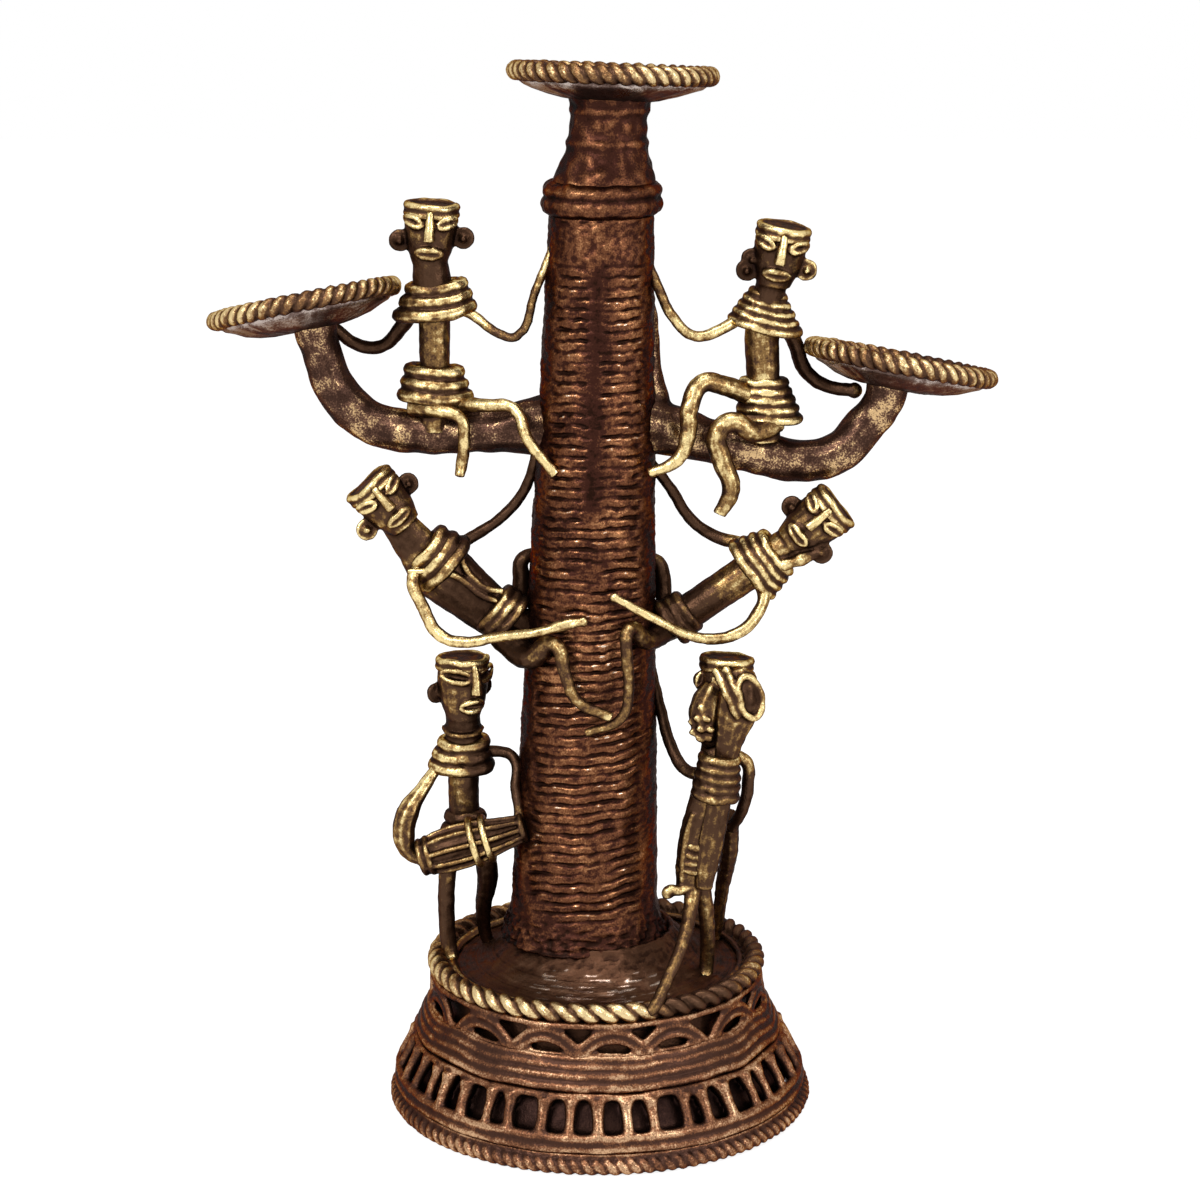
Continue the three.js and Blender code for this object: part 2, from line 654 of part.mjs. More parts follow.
const hornPlayer = {
  name: 'horn_player',
  stature: stature(RIGHT_BRANCH_HEIGHT - RIGHT_CLIMBER_DROP, HORN_PLAYER_ROOM),
  spot: new THREE.Vector3(
    RIM_RADIUS - HORN_PLAYER_INSET,
    -HORN_PLAYER_FORWARD,
    FLOOR_HEIGHT + STANDING_RISE,
  ),
  torso: [[-4.5, -3, 30], [-1.8, -3, 44], [2, -2, 60], [4.8, 0, 77]],
  torsoGirths: [3.6, 4.2, 4.8, 4.8],
  head: [[4.7, 0, 73.5], [6, 1, 95.5]],
  ears: [[-1.8, 0, 88], [12, -0.5, 85], [-1, -2.5, 77]],
  headband: [5.9, 1, 95],
  shawl: { from: [2.6, -2, 55], to: [4.6, -1, 67], radii: [7.5, 6.8], count: 4, depth: 0.9 },
  loincloth: { from: [-4, -3, 33], to: [-1.8, -3, 43], radii: [6.5, 6], count: 4, depth: 0.9 },
  legs: [
    { route: [[-3, -3, 34], [-4, -8, 24], [-7, -17, 15], [-14.5, -29, 2]], girths: [2.6, 2, 1.7] },
    { route: [[-1.5, -2, 33], [0.8, 0, 19], [1, 3, -3]], girths: [2.6, 2.2, 2.2] },
  ],
  arms: {
    trunk: {
      route: [[2, 0, 62], [-5, 5, 61], [-9.5, 10, 67], [-12.5, 14, 77], [-16, 17, 91]],
      girths: [2, 1.7],
    },
    side: {
      route: [[6, 1, 66], [11, 0, 66], [12.5, 2, 58], [11, 5, 49], [8.5, 9, 43]],
      girths: [1.9, 1.9],
    },
  },
};

const FIGURES = [upperLeftSitter, upperRightSitter, leftClimber, rightClimber, drummer, hornPlayer];

// Props
const DRUM = { left: [-12.5, -9, 34.5], right: [18.5, -9, 44], girths: [4.6, 6.4, 6.2, 3.8] };
const STRAP_SHARE = 0.58;
const STRAP_WIDTH = 3.6;
const STRAP_WALL = 1.3;
const DRUM_SIDES = 12;
const HORN = {
  route: [[12.2, -8.8, 86], [8.6, -8.6, 68], [5.4, -8.8, 50], [2.1, -9.6, 29.5]],
  girths: [3.3, 3.2, 3.1, 2.3],
};
const STAFF = {
  route: [[8, 12, 45.5], [8, 18, 32.5], [6.5, 26, 18.5], [5, 34, -1.5]],
  girths: [2.8, 2.8, 1.7],
};

// A route written from a figure's spot, put in its place and stretched to the figure's stature
function place(route, { spot, stature: tall = 1 }) {
  return route.map(([x, y, z]) => [spot.x + x, spot.y + y, spot.z + tall * z]);
}

function placeWraps(wound, figure) {
  const [from, to] = place([wound.from, wound.to], figure);
  return { ...wound, from, to };
}

function figureBody(figure, grow) {
  const { torso, torsoGirths, head, ears, legs } = figure;
  const spine = torsoGirths ?? [TORSO_GIRTH + 0.6, TORSO_GIRTH, TORSO_GIRTH, NECK_GIRTH];
  const face = [HEAD_GIRTH * 0.66, HEAD_GIRTH * 0.95, HEAD_GIRTH, HEAD_GIRTH * 0.92];
  let body = limb(place(torso, figure), spine, { grow });
  body = body.add(limb(place(head, figure), face, { grow, sides: HEAD_SIDES, flat: HEAD_DEPTH }));
  for (const ear of place(ears, figure)) body = body.add(ball(ear, [EAR_RADIUS, EAR_RADIUS, EAR_RADIUS], grow));
  for (const { route, girths } of legs) {
    body = body.add(limb(place(route, figure), girths, { grow }));
  }
  return body;
}

function figureHeadband(figure, grow) {
  const [chin, crown, band] = place([...figure.head, figure.headband], figure).map(vector);
  const up = crown.sub(chin).normalize();
  const top = band.addScaledVector(up, HEADBAND_RISE);
  const foot = top.clone().addScaledVector(up, -HEADBAND_HEIGHT);
  const girth = HEAD_GIRTH + HEADBAND_WALL;
  return limb([foot.toArray(), top.toArray()], [girth, girth], { grow, sides: WRAP_SIDES, flat: HEAD_DEPTH });
}

function figureArm(figure, { route, girths }, grow) {
  return limb(place(route, figure), girths, { grow, sides: ARM_SIDES });
}

function drumEnds() {
  return place([DRUM.left, DRUM.right], drummer);
}

function drumBarrel(grow) {
  return limb(drumEnds(), DRUM.girths, { grow, sides: DRUM_SIDES });
}

function drumStrap(grow) {
  const [left, right] = drumEnds().map(vector);
  const middle = left.clone().lerp(right, STRAP_SHARE);
  const along = right.sub(left).normalize();
  const edge = (side) => middle.clone().addScaledVector(along, (side * STRAP_WIDTH) / 2).toArray();
  const girth = Math.max(...DRUM.girths) + STRAP_WALL;
  return limb([edge(-1), edge(1)], [girth, girth], { grow, sides: DRUM_SIDES });
}

function hornPlayerProp({ route, girths }, grow) {
  return limb(place(route, hornPlayer), girths, { grow, sides: HEAD_SIDES });
}

const stand = new THREE.Group();
const placed = [];

function biggest(solid) {
  return solid.decompose().reduce((best, part) => (part.volume() > best.volume() ? part : best));
}

function boxesMeet(a, b) {
  return [0, 1, 2].every((axis) => a.min[axis] < b.max[axis] && b.min[axis] < a.max[axis]);
}

// Adds a piece, trimmed by every earlier piece that it would run into
function add(name, make, finish) {
  let solid = make(0);
  for (const earlier of placed) {
    if (boxesMeet(solid.boundingBox(), earlier.boundingBox())) solid = solid.subtract(earlier);
  }
  const mesh = biggest(solid).getMesh();
  const geometry = new THREE.BufferGeometry();
  geometry.setAttribute('position', new THREE.BufferAttribute(mesh.vertProperties, 3));
  geometry.setIndex(new THREE.BufferAttribute(mesh.triVerts, 1));
  geometry.computeVertexNormals();
  const piece = new THREE.Mesh(geometry, new THREE.MeshStandardMaterial(finish));
  piece.name = name;
  stand.add(piece);
  placed.push(make(GAP));
}

add('base_rope_rim', rimRope, BRASS);
add('base_drum', baseDrum, PATINA);
add('base_foot_rope', baseFootRope, PATINA);
add('base_pillar_band', pillarBand, PATINA);
add('base_mid_bands', midBands, PATINA);
add('base_arch_band', archBand, PATINA);
add('trunk', trunk, PATINA);
add('trunk_collar', collar, PATINA);

for (const [name, plate] of [['top', TOP_PLATE], ['left', LEFT_PLATE], ['right', RIGHT_PLATE]]) {
  add(`${name}_plate_rope`, (grow) => plateRope(plate, grow), BRASS);
  add(`${name}_plate`, (grow) => plateDish(plate, grow), PATINA);
}

add('top_neck', neck, PATINA);
add('left_branch', (grow) => branchSolid(LEFT_BRANCH, LEFT_PLATE, grow), PATINA);
add('right_branch', (grow) => branchSolid(RIGHT_BRANCH, RIGHT_PLATE, grow), PATINA);

for (const figure of FIGURES) {
  add(`${figure.name}_body`, (grow) => figureBody(figure, grow), BRASS);
}

for (const figure of FIGURES) {
  add(`${figure.name}_headband`, (grow) => figureHeadband(figure, grow), BRASS);
  add(`${figure.name}_shawl`, (grow) => wraps(placeWraps(figure.shawl, figure), grow), BRASS);
  add(`${figure.name}_loincloth`, (grow) => wraps(placeWraps(figure.loincloth, figure), grow), BRASS);
}

add('drum', drumBarrel, BRASS);
add('drum_strap', drumStrap, BRASS);
add('horn', (grow) => hornPlayerProp(HORN, grow), PATINA);
add('horn_staff', (grow) => hornPlayerProp(STAFF, grow), PATINA);

for (const figure of FIGURES) {
  for (const [side, arm] of Object.entries(figure.arms)) {
    add(`${figure.name}_${side}_arm`, (grow) => figureArm(figure, arm, grow), BRASS);
  }
}

export default stand;
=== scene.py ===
# Looks for the cast brass candle stand: every piece is wax wire and slab work, fused as in a casting.
# Routes and sizes are millimetres in the CAD frame, the same values as the part's source.

import math
import random

import bmesh
import bpy
import numpy
from mathutils import Matrix, Vector, noise


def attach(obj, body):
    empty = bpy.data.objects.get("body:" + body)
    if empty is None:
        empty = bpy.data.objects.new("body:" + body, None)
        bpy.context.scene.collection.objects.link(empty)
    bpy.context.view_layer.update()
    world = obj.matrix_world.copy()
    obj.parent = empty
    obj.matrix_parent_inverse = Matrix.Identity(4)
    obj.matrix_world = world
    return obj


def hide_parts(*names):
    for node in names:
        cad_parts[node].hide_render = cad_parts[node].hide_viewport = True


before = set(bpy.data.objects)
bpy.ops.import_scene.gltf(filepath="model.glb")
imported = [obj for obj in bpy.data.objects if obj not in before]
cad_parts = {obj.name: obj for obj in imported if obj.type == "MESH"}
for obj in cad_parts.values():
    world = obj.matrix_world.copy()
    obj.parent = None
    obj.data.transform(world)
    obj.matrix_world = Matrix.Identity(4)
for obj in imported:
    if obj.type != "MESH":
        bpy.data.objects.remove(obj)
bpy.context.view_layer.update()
mm = 0.001
grain = 1.0  # coarser voxels while trying things
chance = random.Random(11)

print("frame loaded:", len(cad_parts), "nodes")


# Materials

def linearColour(hexColour):
    channels = [int(hexColour[i:i + 2], 16) / 255 for i in (1, 3, 5)]
    return [c / 12.92 if c <= 0.04045 else ((c + 0.055) / 1.055) ** 2.4 for c in channels] + [1.0]


def addNode(tree, kind, inputs=None, **settings):
    node = tree.nodes.new("ShaderNode" + kind)
    for key, value in settings.items():
        setattr(node, key, value)
    for key, value in (inputs or {}).items():
        if isinstance(value, bpy.types.NodeSocket):
            tree.links.new(value, node.inputs[key])
        else:
            node.inputs[key].default_value = value
    return node


# Cast brass under a dark red-brown antique patina. Handling has rubbed the open crests back to
# pale yellow metal, copper shows round them, and soot-dark colour stays in every groove. Light is painted in
# as well: faces turned outward are lighter, deep recesses take a painted shade, and burrs and scratches a
# painted glint.
# The colours are groove, patina, copper and rubbed metal. Copper and rubbed metal show between two
# levels of wear, and the patches are in mm.
antiqueBrass = {
    "base": {
        "colours": ("#3A2720", "#452E25", "#784F37", "#C69F7B"),
        "copper": (0.44, 0.85), "rubbed": (0.88, 1.30), "grit": 1.3, "patch": 16, "patchy": 1.5,
    },
    "floor": {
        "colours": ("#38241A", "#4C3325", "#5E4434", "#A08A7C"),
        "copper": (0.40, 1.00), "rubbed": (1.30, 1.70), "grit": 0.9, "patch": 9, "patchy": 0.9,
    },
    "trunk": {
        "colours": ("#24140E", "#3A2019", "#67402B", "#9E6E4A"),
        "copper": (0.46, 0.88), "rubbed": (1.00, 1.40), "grit": 1.6, "patch": 14, "patchy": 1.7,
    },
    "smooth": {
        "colours": ("#2A1C16", "#3E2B23", "#64483A", "#CCAA7C"),
        "copper": (0.38, 0.80), "rubbed": (0.84, 1.15), "grit": 1.8, "patch": 12, "patchy": 1.8,
    },
    "figure": {
        "colours": ("#38261B", "#4C3628", "#8A6A40", "#EAD297"),
        "copper": (0.32, 0.64), "rubbed": (0.64, 0.98), "grit": 0.7, "patch": 9, "patchy": 0.9,
    },
    # The plate's colours are lightened and greyed as a painted reflection: the pale sheen of the surroundings
    # on a dish's underside.
    "plate": {
        "colours": ("#2A1C18", "#44332D", "#6E5B54", "#B0A29A"),
        "copper": (0.30, 0.80), "rubbed": (0.84, 1.20), "grit": 1.2, "patch": 12, "patchy": 1.5,
    },
    "rope": {
        "colours": ("#3A281D", "#533B2C", "#86623F", "#DCC290"),
        "copper": (0.42, 0.74), "rubbed": (0.74, 1.10), "grit": 0.9, "patch": 26, "patchy": 2.0,
    },
}
# The darkest colour: painted shade in deep recesses, and the darkest patina in the deepest grooves.
deepShadeAndPatina = "#241714"
# Painted glint: a near-white highlight colour on burr lines and floor scratches.
paintedGlintColour = "#E2CDB8"
edgeTint = "#8C6C54"
castPit = 0.5  # the size of the sand-like pits in mm
castLump = {"size": 2.2, "uneven": 0.8, "height": 1.4}
castBump = {"strength": 0.6, "depth": 0.16}
darkLevels = [(-1.6, -0.7), (-0.35, 0.1)]  # wear at which the deep painted shade ends, and at which grooves end
glintAbove = (0.35, 0.7)  # painted glint: a near-white colour this far past fully rubbed
roughness = {"patina": 0.38, "rubbed": 0.26}
metallic = {"patina": 0.86, "copper": 1.0}


def rampNode(tree, value, start, end, low=0.0, high=1.0):
    inputs = {"Value": value, "From Min": start, "From Max": end, "To Min": low, "To Max": high}
    return addNode(tree, "MapRange", inputs).outputs[0]


def brassMaterial(name, look):
    material = bpy.data.materials.new(name)
    material.use_nodes = True
    tree = material.node_tree
    tree.nodes.clear()
    place = addNode(tree, "TexCoord").outputs["Object"]
    wearAndLightLevel = addNode(tree, "Attribute", attribute_name="wearAndLight").outputs["Fac"]

    # Uneven rubbing: the painted wear and light measure is shifted by the large patches, the small lumps and
    # the pits
    grains = [(look["patch"], 3.0, look["patchy"]), (castLump["size"], 4.0, castLump["uneven"]),
              (castPit, 2.0, look["grit"])]
    patterns = []
    for size, detail, amount in grains:
        pattern = addNode(tree, "TexNoise", {"Vector": place, "Scale": 1 / (size * mm), "Detail": detail})
        shift = addNode(tree, "Math", {0: pattern.outputs["Fac"], 1: 0.5}, operation="SUBTRACT")
        wearAndLightLevel = addNode(tree, "Math", {0: shift.outputs[0], 1: amount, 2: wearAndLightLevel},
                       operation="MULTIPLY_ADD").outputs[0]
        patterns.append(pattern.outputs["Fac"])

    # Past fully rubbed the colour turns to the painted glint; below the grooves it turns to the darkest
    # colour, painted shade in deep recesses.
    glintLevels = [look["rubbed"][1] + above for above in glintAbove]
    masks = [rampNode(tree, wearAndLightLevel, *levels) for levels in (*darkLevels, look["copper"], look["rubbed"], glintLevels)]
    colour = linearColour(deepShadeAndPatina)
    for mask, shade in zip(masks, (*look["colours"], paintedGlintColour)):
        mix = addNode(tree, "Mix", {0: mask, 6: colour, 7: linearColour(shade)}, data_type="RGBA")
        colour = mix.outputs[2]

    rough = rampNode(tree, masks[3], 0, 1, roughness["patina"], roughness["rubbed"])
    metal = rampNode(tree, masks[2], 0, 1, metallic["patina"], metallic["copper"])
    height = addNode(tree, "Math", {0: patterns[1], 1: castLump["height"], 2: patterns[2]},
                     operation="MULTIPLY_ADD")
    bump = addNode(tree, "Bump", {"Height": height.outputs[0], "Strength": castBump["strength"],
                                  "Distance": castBump["depth"] * mm})
    shader = addNode(tree, "BsdfPrincipled", {
        "Base Color": colour, "Roughness": rough, "Metallic": metal, "Normal": bump.outputs[0],
        "Specular IOR Level": 0.3, "Specular Tint": linearColour(edgeTint),
    })
    addNode(tree, "OutputMaterial", {"Surface": shader.outputs[0]})
    return material


brass = {key: brassMaterial("antiqueBrass_" + key, look) for key, look in antiqueBrass.items()}
print("materials made:", len(brass))


# Shapes

# Soft noise between -1 and 1 at a place given by three numbers
def waver(x, y, z):
    return noise.noise(Vector((x, y, z)))


def addMesh(piece, mesh, place=None):
    if place is not None:
        mesh.transform(place)
    piece.from_mesh(mesh)
    bpy.data.meshes.remove(mesh)


# Smooth round wires: each route is a list of (x, y, z, radius) in mm
def addWires(piece, routes, closed=False, flat=None, steps=5, sides=2):
    curve = bpy.data.curves.new("wires", "CURVE")
    curve.dimensions = "3D"
    curve.bevel_depth = mm
    curve.bevel_resolution = sides
    curve.resolution_u = steps
    curve.use_fill_caps = not closed
    for route in routes:
        spline = curve.splines.new("BEZIER")
        spline.bezier_points.add(len(route) - 1)
        spline.use_cyclic_u = closed
        for point, (x, y, z, radius) in zip(spline.bezier_points, route):
            point.co = (x * mm, y * mm, z * mm)
            point.handle_left_type = point.handle_right_type = "AUTO"
            point.radius = radius
    holder = bpy.data.objects.new("wires", curve)
    mesh = bpy.data.meshes.new_from_object(holder)
    bpy.data.objects.remove(holder)
    bpy.data.curves.remove(curve)
    place = None
    if flat:
        middle, depth = flat
        place = Matrix.Translation((0, middle * mm, 0)) @ Matrix.Diagonal((1, depth, 1, 1))
        place = place @ Matrix.Translation((0, -middle * mm, 0))
    addMesh(piece, mesh, place)


def addBall(piece, centre, radii, turn=None):
    place = Matrix.Translation(Vector(centre) * mm)
    if turn is not None:
        place = place @ turn.to_4x4()
    place = place @ Matrix.Diagonal((radii[0] * mm, radii[1] * mm, radii[2] * mm, 1))
    bmesh.ops.create_icosphere(piece, subdivisions=3, radius=1, matrix=place)


# A solid of revolution about Z from (radius, height) points in mm
def addTurned(piece, profile, steps, closed=True):
    spun = bmesh.new()
    verts = [spun.verts.new((radius * mm, 0, height * mm)) for radius, height in profile]
    edges = [spun.edges.new(pair) for pair in zip(verts, verts[1:])]
    if closed:
        edges.append(spun.edges.new((verts[-1], verts[0])))
    bmesh.ops.spin(spun, geom=verts + edges, cent=(0, 0, 0), axis=(0, 0, 1), angle=math.tau, steps=steps,
                   use_merge=True)
    bmesh.ops.remove_doubles(spun, verts=spun.verts, dist=1e-6)
    bmesh.ops.recalc_face_normals(spun, faces=spun.faces)
    mesh = bpy.data.meshes.new("turned")
    spun.to_mesh(mesh)
    spun.free()
    addMesh(piece, mesh)


# Pushes every point along its normal by soft noise, as hand-worked wax is never even
def roughen(piece, size, depth):
    piece.normal_update()
    for vert in piece.verts:
        push = noise.noise(vert.co / (size * mm))
        vert.co += vert.normal * push * depth * mm


def makeObject(piece, name):
    mesh = bpy.data.meshes.new(name)
    piece.to_mesh(mesh)
    piece.free()
    made = bpy.data.objects.new(name, mesh)
    bpy.context.scene.collection.objects.link(made)
    return made


# Fuses overlapping wires and slabs into one skin, as wax is fused before it is cast
def fused(piece, name, voxel, smooth=3, rough=(3.0, 0.12)):
    raw = makeObject(piece, name + "_wax")
    remesh = raw.modifiers.new("fuse", "REMESH")
    remesh.mode = "VOXEL"
    remesh.voxel_size = voxel * grain * mm
    skin = bpy.data.meshes.new_from_object(raw.evaluated_get(bpy.context.evaluated_depsgraph_get()))
    bpy.data.objects.remove(raw)
    soft = bmesh.new()
    soft.from_mesh(skin)
    bpy.data.meshes.remove(skin)
    for _ in range(smooth):
        bmesh.ops.smooth_vert(soft, verts=soft.verts, factor=0.5, use_axis_x=True, use_axis_y=True,
                              use_axis_z=True)
    roughen(soft, *rough)
    return makeObject(soft, name)


# Writes how worn and how lit each point is painted: 1 on a crest that faces away from the heart, below 0 in a
# groove. Crests rubbed bright and grooves left dark are wear; facing away from the heart is partly wear on
# outer faces and partly painted light, so faces turned side-on read as shaded. A crest is what stands above
# the same mesh after some rounds of smoothing.
wear = {"steps": 12, "reach": 0.12, "crest": 0.5, "facingWeight": 0.5, "groove": -2, "height": 1}


def markWearAndLight(mesh, heart, darkeningAndPaintedLight, behind):
    count = len(mesh.vertices)
    spots = numpy.empty(count * 3)
    mesh.vertices.foreach_get("co", spots)
    spots = spots.reshape(-1, 3)
    pairs = numpy.empty(len(mesh.edges) * 2, dtype=int)
    mesh.edges.foreach_get("vertices", pairs)
    first, second = pairs[0::2], pairs[1::2]
    neighbours = numpy.bincount(pairs, minlength=count).clip(1)
    soft = spots.copy()
    for _ in range(wear["steps"]):
        for axis in range(3):
            line = soft[:, axis]
            total = numpy.bincount(first, line[second], count)
            total += numpy.bincount(second, line[first], count)
            soft[:, axis] = (line + total / neighbours) / 2
    normals = numpy.empty(count * 3)
    mesh.vertices.foreach_get("normal", normals)
    normals = normals.reshape(-1, 3)
    raised = ((spots - soft) * normals).sum(axis=1) / (wear["reach"] * mm)
    outward = spots - numpy.array(heart) * mm
    outward /= numpy.linalg.norm(outward, axis=1).clip(1e-9)[:, None]
    # Partly painted light: faces turned away from the heart are made lighter, and faces turned side-on
    # darker.
    wearAndLightFacing = (normals * outward).sum(axis=1)
    wearAndLightFacing = numpy.maximum(wearAndLightFacing, -behind * wearAndLightFacing)
    wearAndLightValues = wear["crest"] * raised.clip(wear["groove"], wear["height"]) + wear["facingWeight"] * wearAndLightFacing
    wearAndLight = mesh.attributes.new("wearAndLight", "FLOAT", "POINT")
    wearAndLight.data.foreach_set("value", wearAndLightValues - darkeningAndPaintedLight(spots / mm))


# Gives a finished piece its metal, its wear, its place in the frame, and hides the CAD node that it stands
# for.
# Where the heart lies behind a piece, its back is painted worn and lit too, by the share named in behind. The
# darkening handed in is taken off the wear: in places it is painted shade, and where negative, painted
# glints.
def settle(made, metal, slot, heart, node, darkeningAndPaintedLight=lambda spots: 0, behind=0.0):
    for face in made.data.polygons:
        face.use_smooth = True
    markWearAndLight(made.data, heart, darkeningAndPaintedLight, behind)
    made.data.materials.clear()
    made.data.materials.append(metal)
    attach(made, "root")
    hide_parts(node)
    return made


# Base

base = {
    "outline": [(0, 60.2), (2.5, 62.3), (6, 61.2), (11.5, 60.6), (14.7, 58.8), (18, 56.6), (21, 55.2),
                (24, 53.6), (27, 52.2), (30.5, 50.8), (33.7, 49.7), (40, 49.2), (46, 48.0)],
    "lean": -1.2 / 43,
    "heart": (0, 0, 5),
    "shadeFrom": 1.6,  # how far behind the raised wires the painted shade begins
    "shadeAmount": 2.0,
}


def outlineRadius(height):
    rows = base["outline"]
    for (lowHeight, lowRadius), (highHeight, highRadius) in zip(rows, rows[1:]):
        if height <= highHeight:
            share = (height - lowHeight) / (highHeight - lowHeight)
            return lowRadius + (highRadius - lowRadius) * share
    return rows[-1][1]


# Painted shade: the base's skin is darkened wherever it lies well behind its raised wires, in its windows and
# valleys
def baseRecessShade(spots):
    heights, radii = zip(*base["outline"])
    reach = numpy.hypot(spots[:, 0] - base["lean"] * spots[:, 2], spots[:, 1])
    behind = numpy.interp(spots[:, 2], heights, radii) - reach
    return base["shadeAmount"] * (behind - base["shadeFrom"]).clip(0, 1)


# The base leans a little, as the real one does: its top stands to the left of its foot
def leaned(x, height):
    return x + base["lean"] * height


# A point on the base's skin: turn in degrees from the front towards +X, sunk inwards by so much
def onBase(turn, height, sink, radius=1.0):
    reach = outlineRadius(height) - sink
    angle = math.radians(turn - 90)
    return (leaned(reach * math.cos(angle), height), reach * math.sin(angle), height, radius)


# A wire that goes right round the base, wandering a little up and down
def baseWire(height, sink, radius, wave=0.0, waves=3.0, points=72):
    route = []
    for i in range(points):
        turn = 360 * i / points
        around = Vector((math.cos(math.radians(turn)), math.sin(math.radians(turn)), 0))
        wander = wave * noise.noise(around * waves + Vector((0, 0, 3)))
        wander += 0.3 * noise.noise(around * 7 + Vector((0, 0, height)))
        thick = radius * (1 + 0.14 * noise.noise(around * 9 + Vector((0, 5, height))))
        route.append(onBase(turn, height + wander, sink, thick))
    return route


# Two strands twisted into a rope that closes on itself around Z
def ropeStrands(rope, lean=0.0):
    twists = rope["strands"] // 2
    radius, height, thickness = rope["radius"], rope["height"], rope["thickness"]
    swingOut = thickness * 0.46
    routes = []
    for start in (0, math.pi):
        route = []
        for i in range(twists * 8):
            angle = math.tau * i / (twists * 8)
            swing = rope["handed"] * twists * angle + start
            wobble = 1 + 0.10 * waver(angle * 9, start, height)
            reach = radius + swingOut * math.cos(swing)
            rise = height + swingOut * math.sin(swing)
            route.append((reach * math.cos(angle) + lean * height, reach * math.sin(angle), rise,
                          thickness * rope["strand"] * wobble))
        routes.append(route)
    return routes


# A band of the base: a thin turned wall with wires fused on it, some of which go right round
def makeBand(name, band, loops, wires=()):
    piece = bmesh.new()
    bottom, top = band["heights"]
    heights = [bottom + (top - bottom) * i / 6 for i in range(7)]
    outer = [(outlineRadius(height) - band["wall"], height) for height in heights]
    inner = [(outlineRadius(height) - band["wall"] - 2.0, height) for height in reversed(heights)]
    addTurned(piece, outer + inner, 120)
    for vert in piece.verts:
        vert.co.x = leaned(vert.co.x, vert.co.z)
    addWires(piece, loops, closed=True, steps=3)
    if wires:
        addWires(piece, wires, steps=4)
    made = fused(piece, name, band["voxel"])
    settle(made, brass["base"], "patina_brass", base["heart"], name, darkeningAndPaintedLight=baseRecessShade)


footRope = {
    "radius": 60.0, "height": 2.5, "thickness": 2.5, "strands": 116, "strand": 0.58, "handed": -1,
    "voxel": 0.5,
    "backing": [(56.0, 0.3), (59.6, 0.3), (60.4, 3), (60.2, 6.2), (56.0, 6.2)],
}


def makeFootRope():
    piece = bmesh.new()
    addWires(piece, ropeStrands(footRope), closed=True, steps=2)
    addTurned(piece, footRope["backing"], 120)
    made = fused(piece, "base_foot_rope", footRope["voxel"], smooth=1)
    settle(made, brass["base"], "patina_brass", base["heart"], "base_foot_rope")


# A band's wires are (height, sink, radius, wander). Its wall stands so far behind the skin.
pillarBand = {
    "heights": (6.5, 21.2), "wall": 5.4, "voxel": 0.62, "count": 43, "uneven": 0.18, "tilt": 0.6,
    "wires": [(7.4, 1.4, 1.5), (10.4, 1.5, 1.5, 0.4), (20.6, 1.7, 1.25, 0.8)],
    "post": [(11.0, 2.2, 1.8), (15.0, 1.9, 1.7), (17.2, 1.9, 1.9), (19.6, 1.9, 2.6)],
    "head": [(-2.3, 20.0, 1.9, 1.0), (0, 19.2, 1.6, 1.3), (2.3, 20.0, 1.9, 1.0)],
}


def makePillarBand():
    posts = []
    for i in range(pillarBand["count"]):
        turn = 360 * (i + pillarBand["uneven"] * chance.uniform(-1, 1)) / pillarBand["count"]
        tilt = chance.uniform(-pillarBand["tilt"], pillarBand["tilt"])
        stout = chance.uniform(0.9, 1.1)
        posts.append([onBase(turn + tilt * lean, height, sink, radius * stout)
                      for lean, (height, sink, radius) in zip((1, 0, 0, -1), pillarBand["post"])])
        posts.append([onBase(turn + aside, height, sink, radius)
                      for aside, height, sink, radius in pillarBand["head"]])
    makeBand("base_pillar_band", pillarBand, [baseWire(*wire) for wire in pillarBand["wires"]], posts)


midBands = {
    "heights": (21.6, 30.2), "wall": 3.2, "voxel": 0.52,
    "wires": [(22.9, 1.7, 1.65, 1.0), (25.6, 1.6, 1.65, 1.5), (28.1, 1.6, 1.5, 1.8), (30.3, 1.7, 1.3, 1.8)],
}


def makeMidBands():
    makeBand("base_mid_bands", midBands, [baseWire(*wire) for wire in midBands["wires"]])


archBand = {
    "heights": (30.2, 40), "wall": 4.4, "voxel": 0.54, "count": 15, "uneven": 0.12, "foot": 31.4,
    "wires": [(39.6, 1.1, 1.15, 0.5), (31.2, 1.8, 1.0, 1.6)],
    "arches": [(0.54, 38.2, 1.4), (0.42, 35.4, 1.3)],  # half width as a share of the pitch, top, radius
}


def makeArchBand():
    arches = []
    wide = 360 / archBand["count"]
    for i in range(archBand["count"]):
        middle = wide * (i + archBand["uneven"] * chance.uniform(-1, 1)) + 4
        foot = archBand["foot"] + 0.5 * chance.uniform(-1, 1)
        for half, top, radius in archBand["arches"]:
            route = []
            for step in range(7):
                along = -1 + step / 3
                rise = (top - foot) * (1 - abs(along) ** 2.0)
                thick = radius * (1 - 0.2 * abs(along))
                route.append(onBase(middle + along * half * wide, foot + rise, 1.2, thick))
            arches.append(route)
    makeBand("base_arch_band", archBand, [baseWire(*wire) for wire in archBand["wires"]], arches)


rimRope = {
    "radius": 46.9, "height": 43, "thickness": 2.9, "strands": 54, "strand": 0.6, "handed": -1,
    "voxel": 0.45,
    "innerWire": {"inside": 4.3, "below": 0.4},
    "backing": [(42.6, 40.9), (47.0, 40.4), (47.6, 42), (44, 43), (42.2, 42.4)],
}


